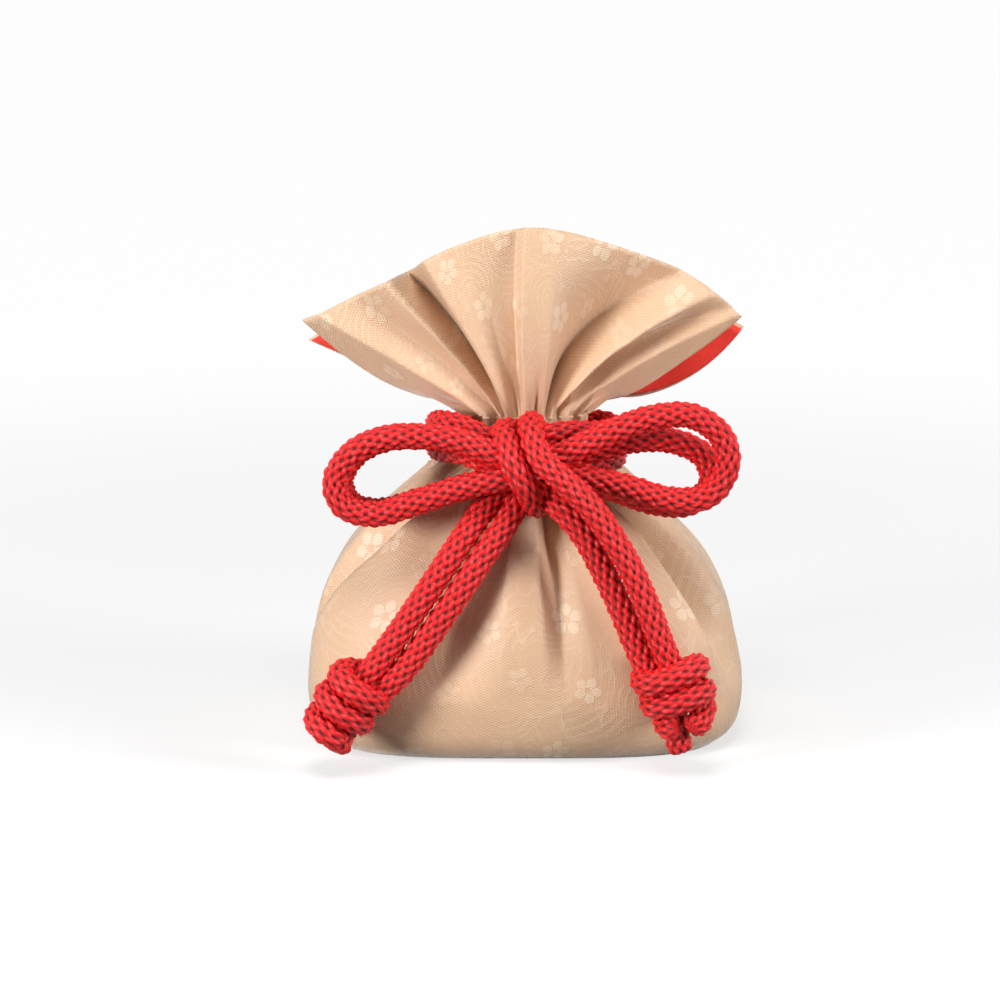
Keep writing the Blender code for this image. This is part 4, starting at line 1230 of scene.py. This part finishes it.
def add_world(settings):
    """White surroundings that light the pouch only dimly."""
    world = bpy.data.worlds.new("pale_surroundings")
    world.use_nodes = True
    sheet = NodeSheet(world.node_tree)
    background = world.node_tree.nodes["Background"]
    background.inputs["Color"].default_value = (1.0, 1.0, 1.0, 1.0)
    shown = seen_directly(sheet)
    dim = settings.world_strength
    strength = sheet.plus(dim, sheet.times(shown, 1.0 - dim))
    sheet.feed(background.inputs["Strength"], strength)
    bpy.context.scene.world = world


def add_lamp(name, place, size, power):
    """A round area light, turned towards the middle of the pouch."""
    lamp = bpy.data.lights.new(name, "AREA")
    lamp.shape = "DISK"
    lamp.size = size
    lamp.energy = power
    holder = bpy.data.objects.new(name, lamp)
    bpy.context.scene.collection.objects.link(holder)
    holder.location = place
    aim = np.array(LIGHTS_AIM) - np.array(place)
    flat = math.hypot(aim[0], aim[1])
    holder.rotation_euler = (math.pi / 2 + math.atan2(aim[2], flat), 0.0,
                             math.atan2(aim[1], aim[0]) - math.pi / 2)


def add_camera():
    """The camera in front of the pouch, looking slightly down on it."""
    lens = bpy.data.cameras.new("front_view")
    lens.sensor_width = CAMERA_SENSOR
    lens.lens = CAMERA_LENS
    lens.clip_start = 0.01
    holder = bpy.data.objects.new("front_view", lens)
    bpy.context.scene.collection.objects.link(holder)
    tilt = math.radians(CAMERA_ELEVATION)
    x, y, z = CAMERA_TARGET
    holder.location = (x * MM, (y - CAMERA_DISTANCE * math.cos(tilt)) * MM,
                       (z + CAMERA_DISTANCE * math.sin(tilt)) * MM)
    holder.rotation_euler = (math.pi / 2 - tilt, 0.0, 0.0)
    bpy.context.scene.camera = holder


class POUCH_PT_sidebar(bpy.types.Panel):
    """The pouch's pieces and their main sizes"""
    bl_idname = "POUCH_PT_sidebar"
    bl_label = "Kinchaku Pouch"
    bl_space_type = "VIEW_3D"
    bl_region_type = "UI"
    bl_category = "Kinchaku"

    def draw(self, context):
        layout = self.layout
        for label, group, operators in (
                ("Cloth", context.scene.pouch_cloth, (
                    POUCH_OT_outer_cloth, POUCH_OT_lining_cloth, POUCH_OT_channel_stitches)),
                ("Cords", context.scene.pouch_cord, (POUCH_OT_end_knots, POUCH_OT_drawcords)),
                ("Stage", context.scene.pouch_stage, (POUCH_OT_stage,))):
            box = layout.box()
            box.label(text=label)
            for setting in group.bl_rna.properties:
                if setting.identifier not in ("rna_type", "name"):
                    box.prop(group, setting.identifier)
            for operator in operators:
                box.operator(operator.bl_idname)


CLASSES = (
    PouchClothSettings, PouchCordSettings, PouchStageSettings, POUCH_OT_outer_cloth,
    POUCH_OT_lining_cloth, POUCH_OT_channel_stitches, POUCH_OT_end_knots, POUCH_OT_drawcords,
    POUCH_OT_stage, POUCH_PT_sidebar,
)


def register():
    for item in CLASSES:
        bpy.utils.register_class(item)
    bpy.types.Scene.pouch_cloth = PointerProperty(type=PouchClothSettings)
    bpy.types.Scene.pouch_cord = PointerProperty(type=PouchCordSettings)
    bpy.types.Scene.pouch_stage = PointerProperty(type=PouchStageSettings)


def unregister():
    del bpy.types.Scene.pouch_stage
    del bpy.types.Scene.pouch_cord
    del bpy.types.Scene.pouch_cloth
    for item in reversed(CLASSES):
        bpy.utils.unregister_class(item)


def main():
    register()
    bpy.ops.pouch.stage()
    bpy.ops.pouch.end_knots()
    bpy.ops.pouch.drawcords()
    bpy.ops.pouch.outer_cloth()
    bpy.ops.pouch.lining_cloth()
    bpy.ops.pouch.channel_stitches()
    bpy.context.view_layer.update()


if __name__ == "__main__":
    main()
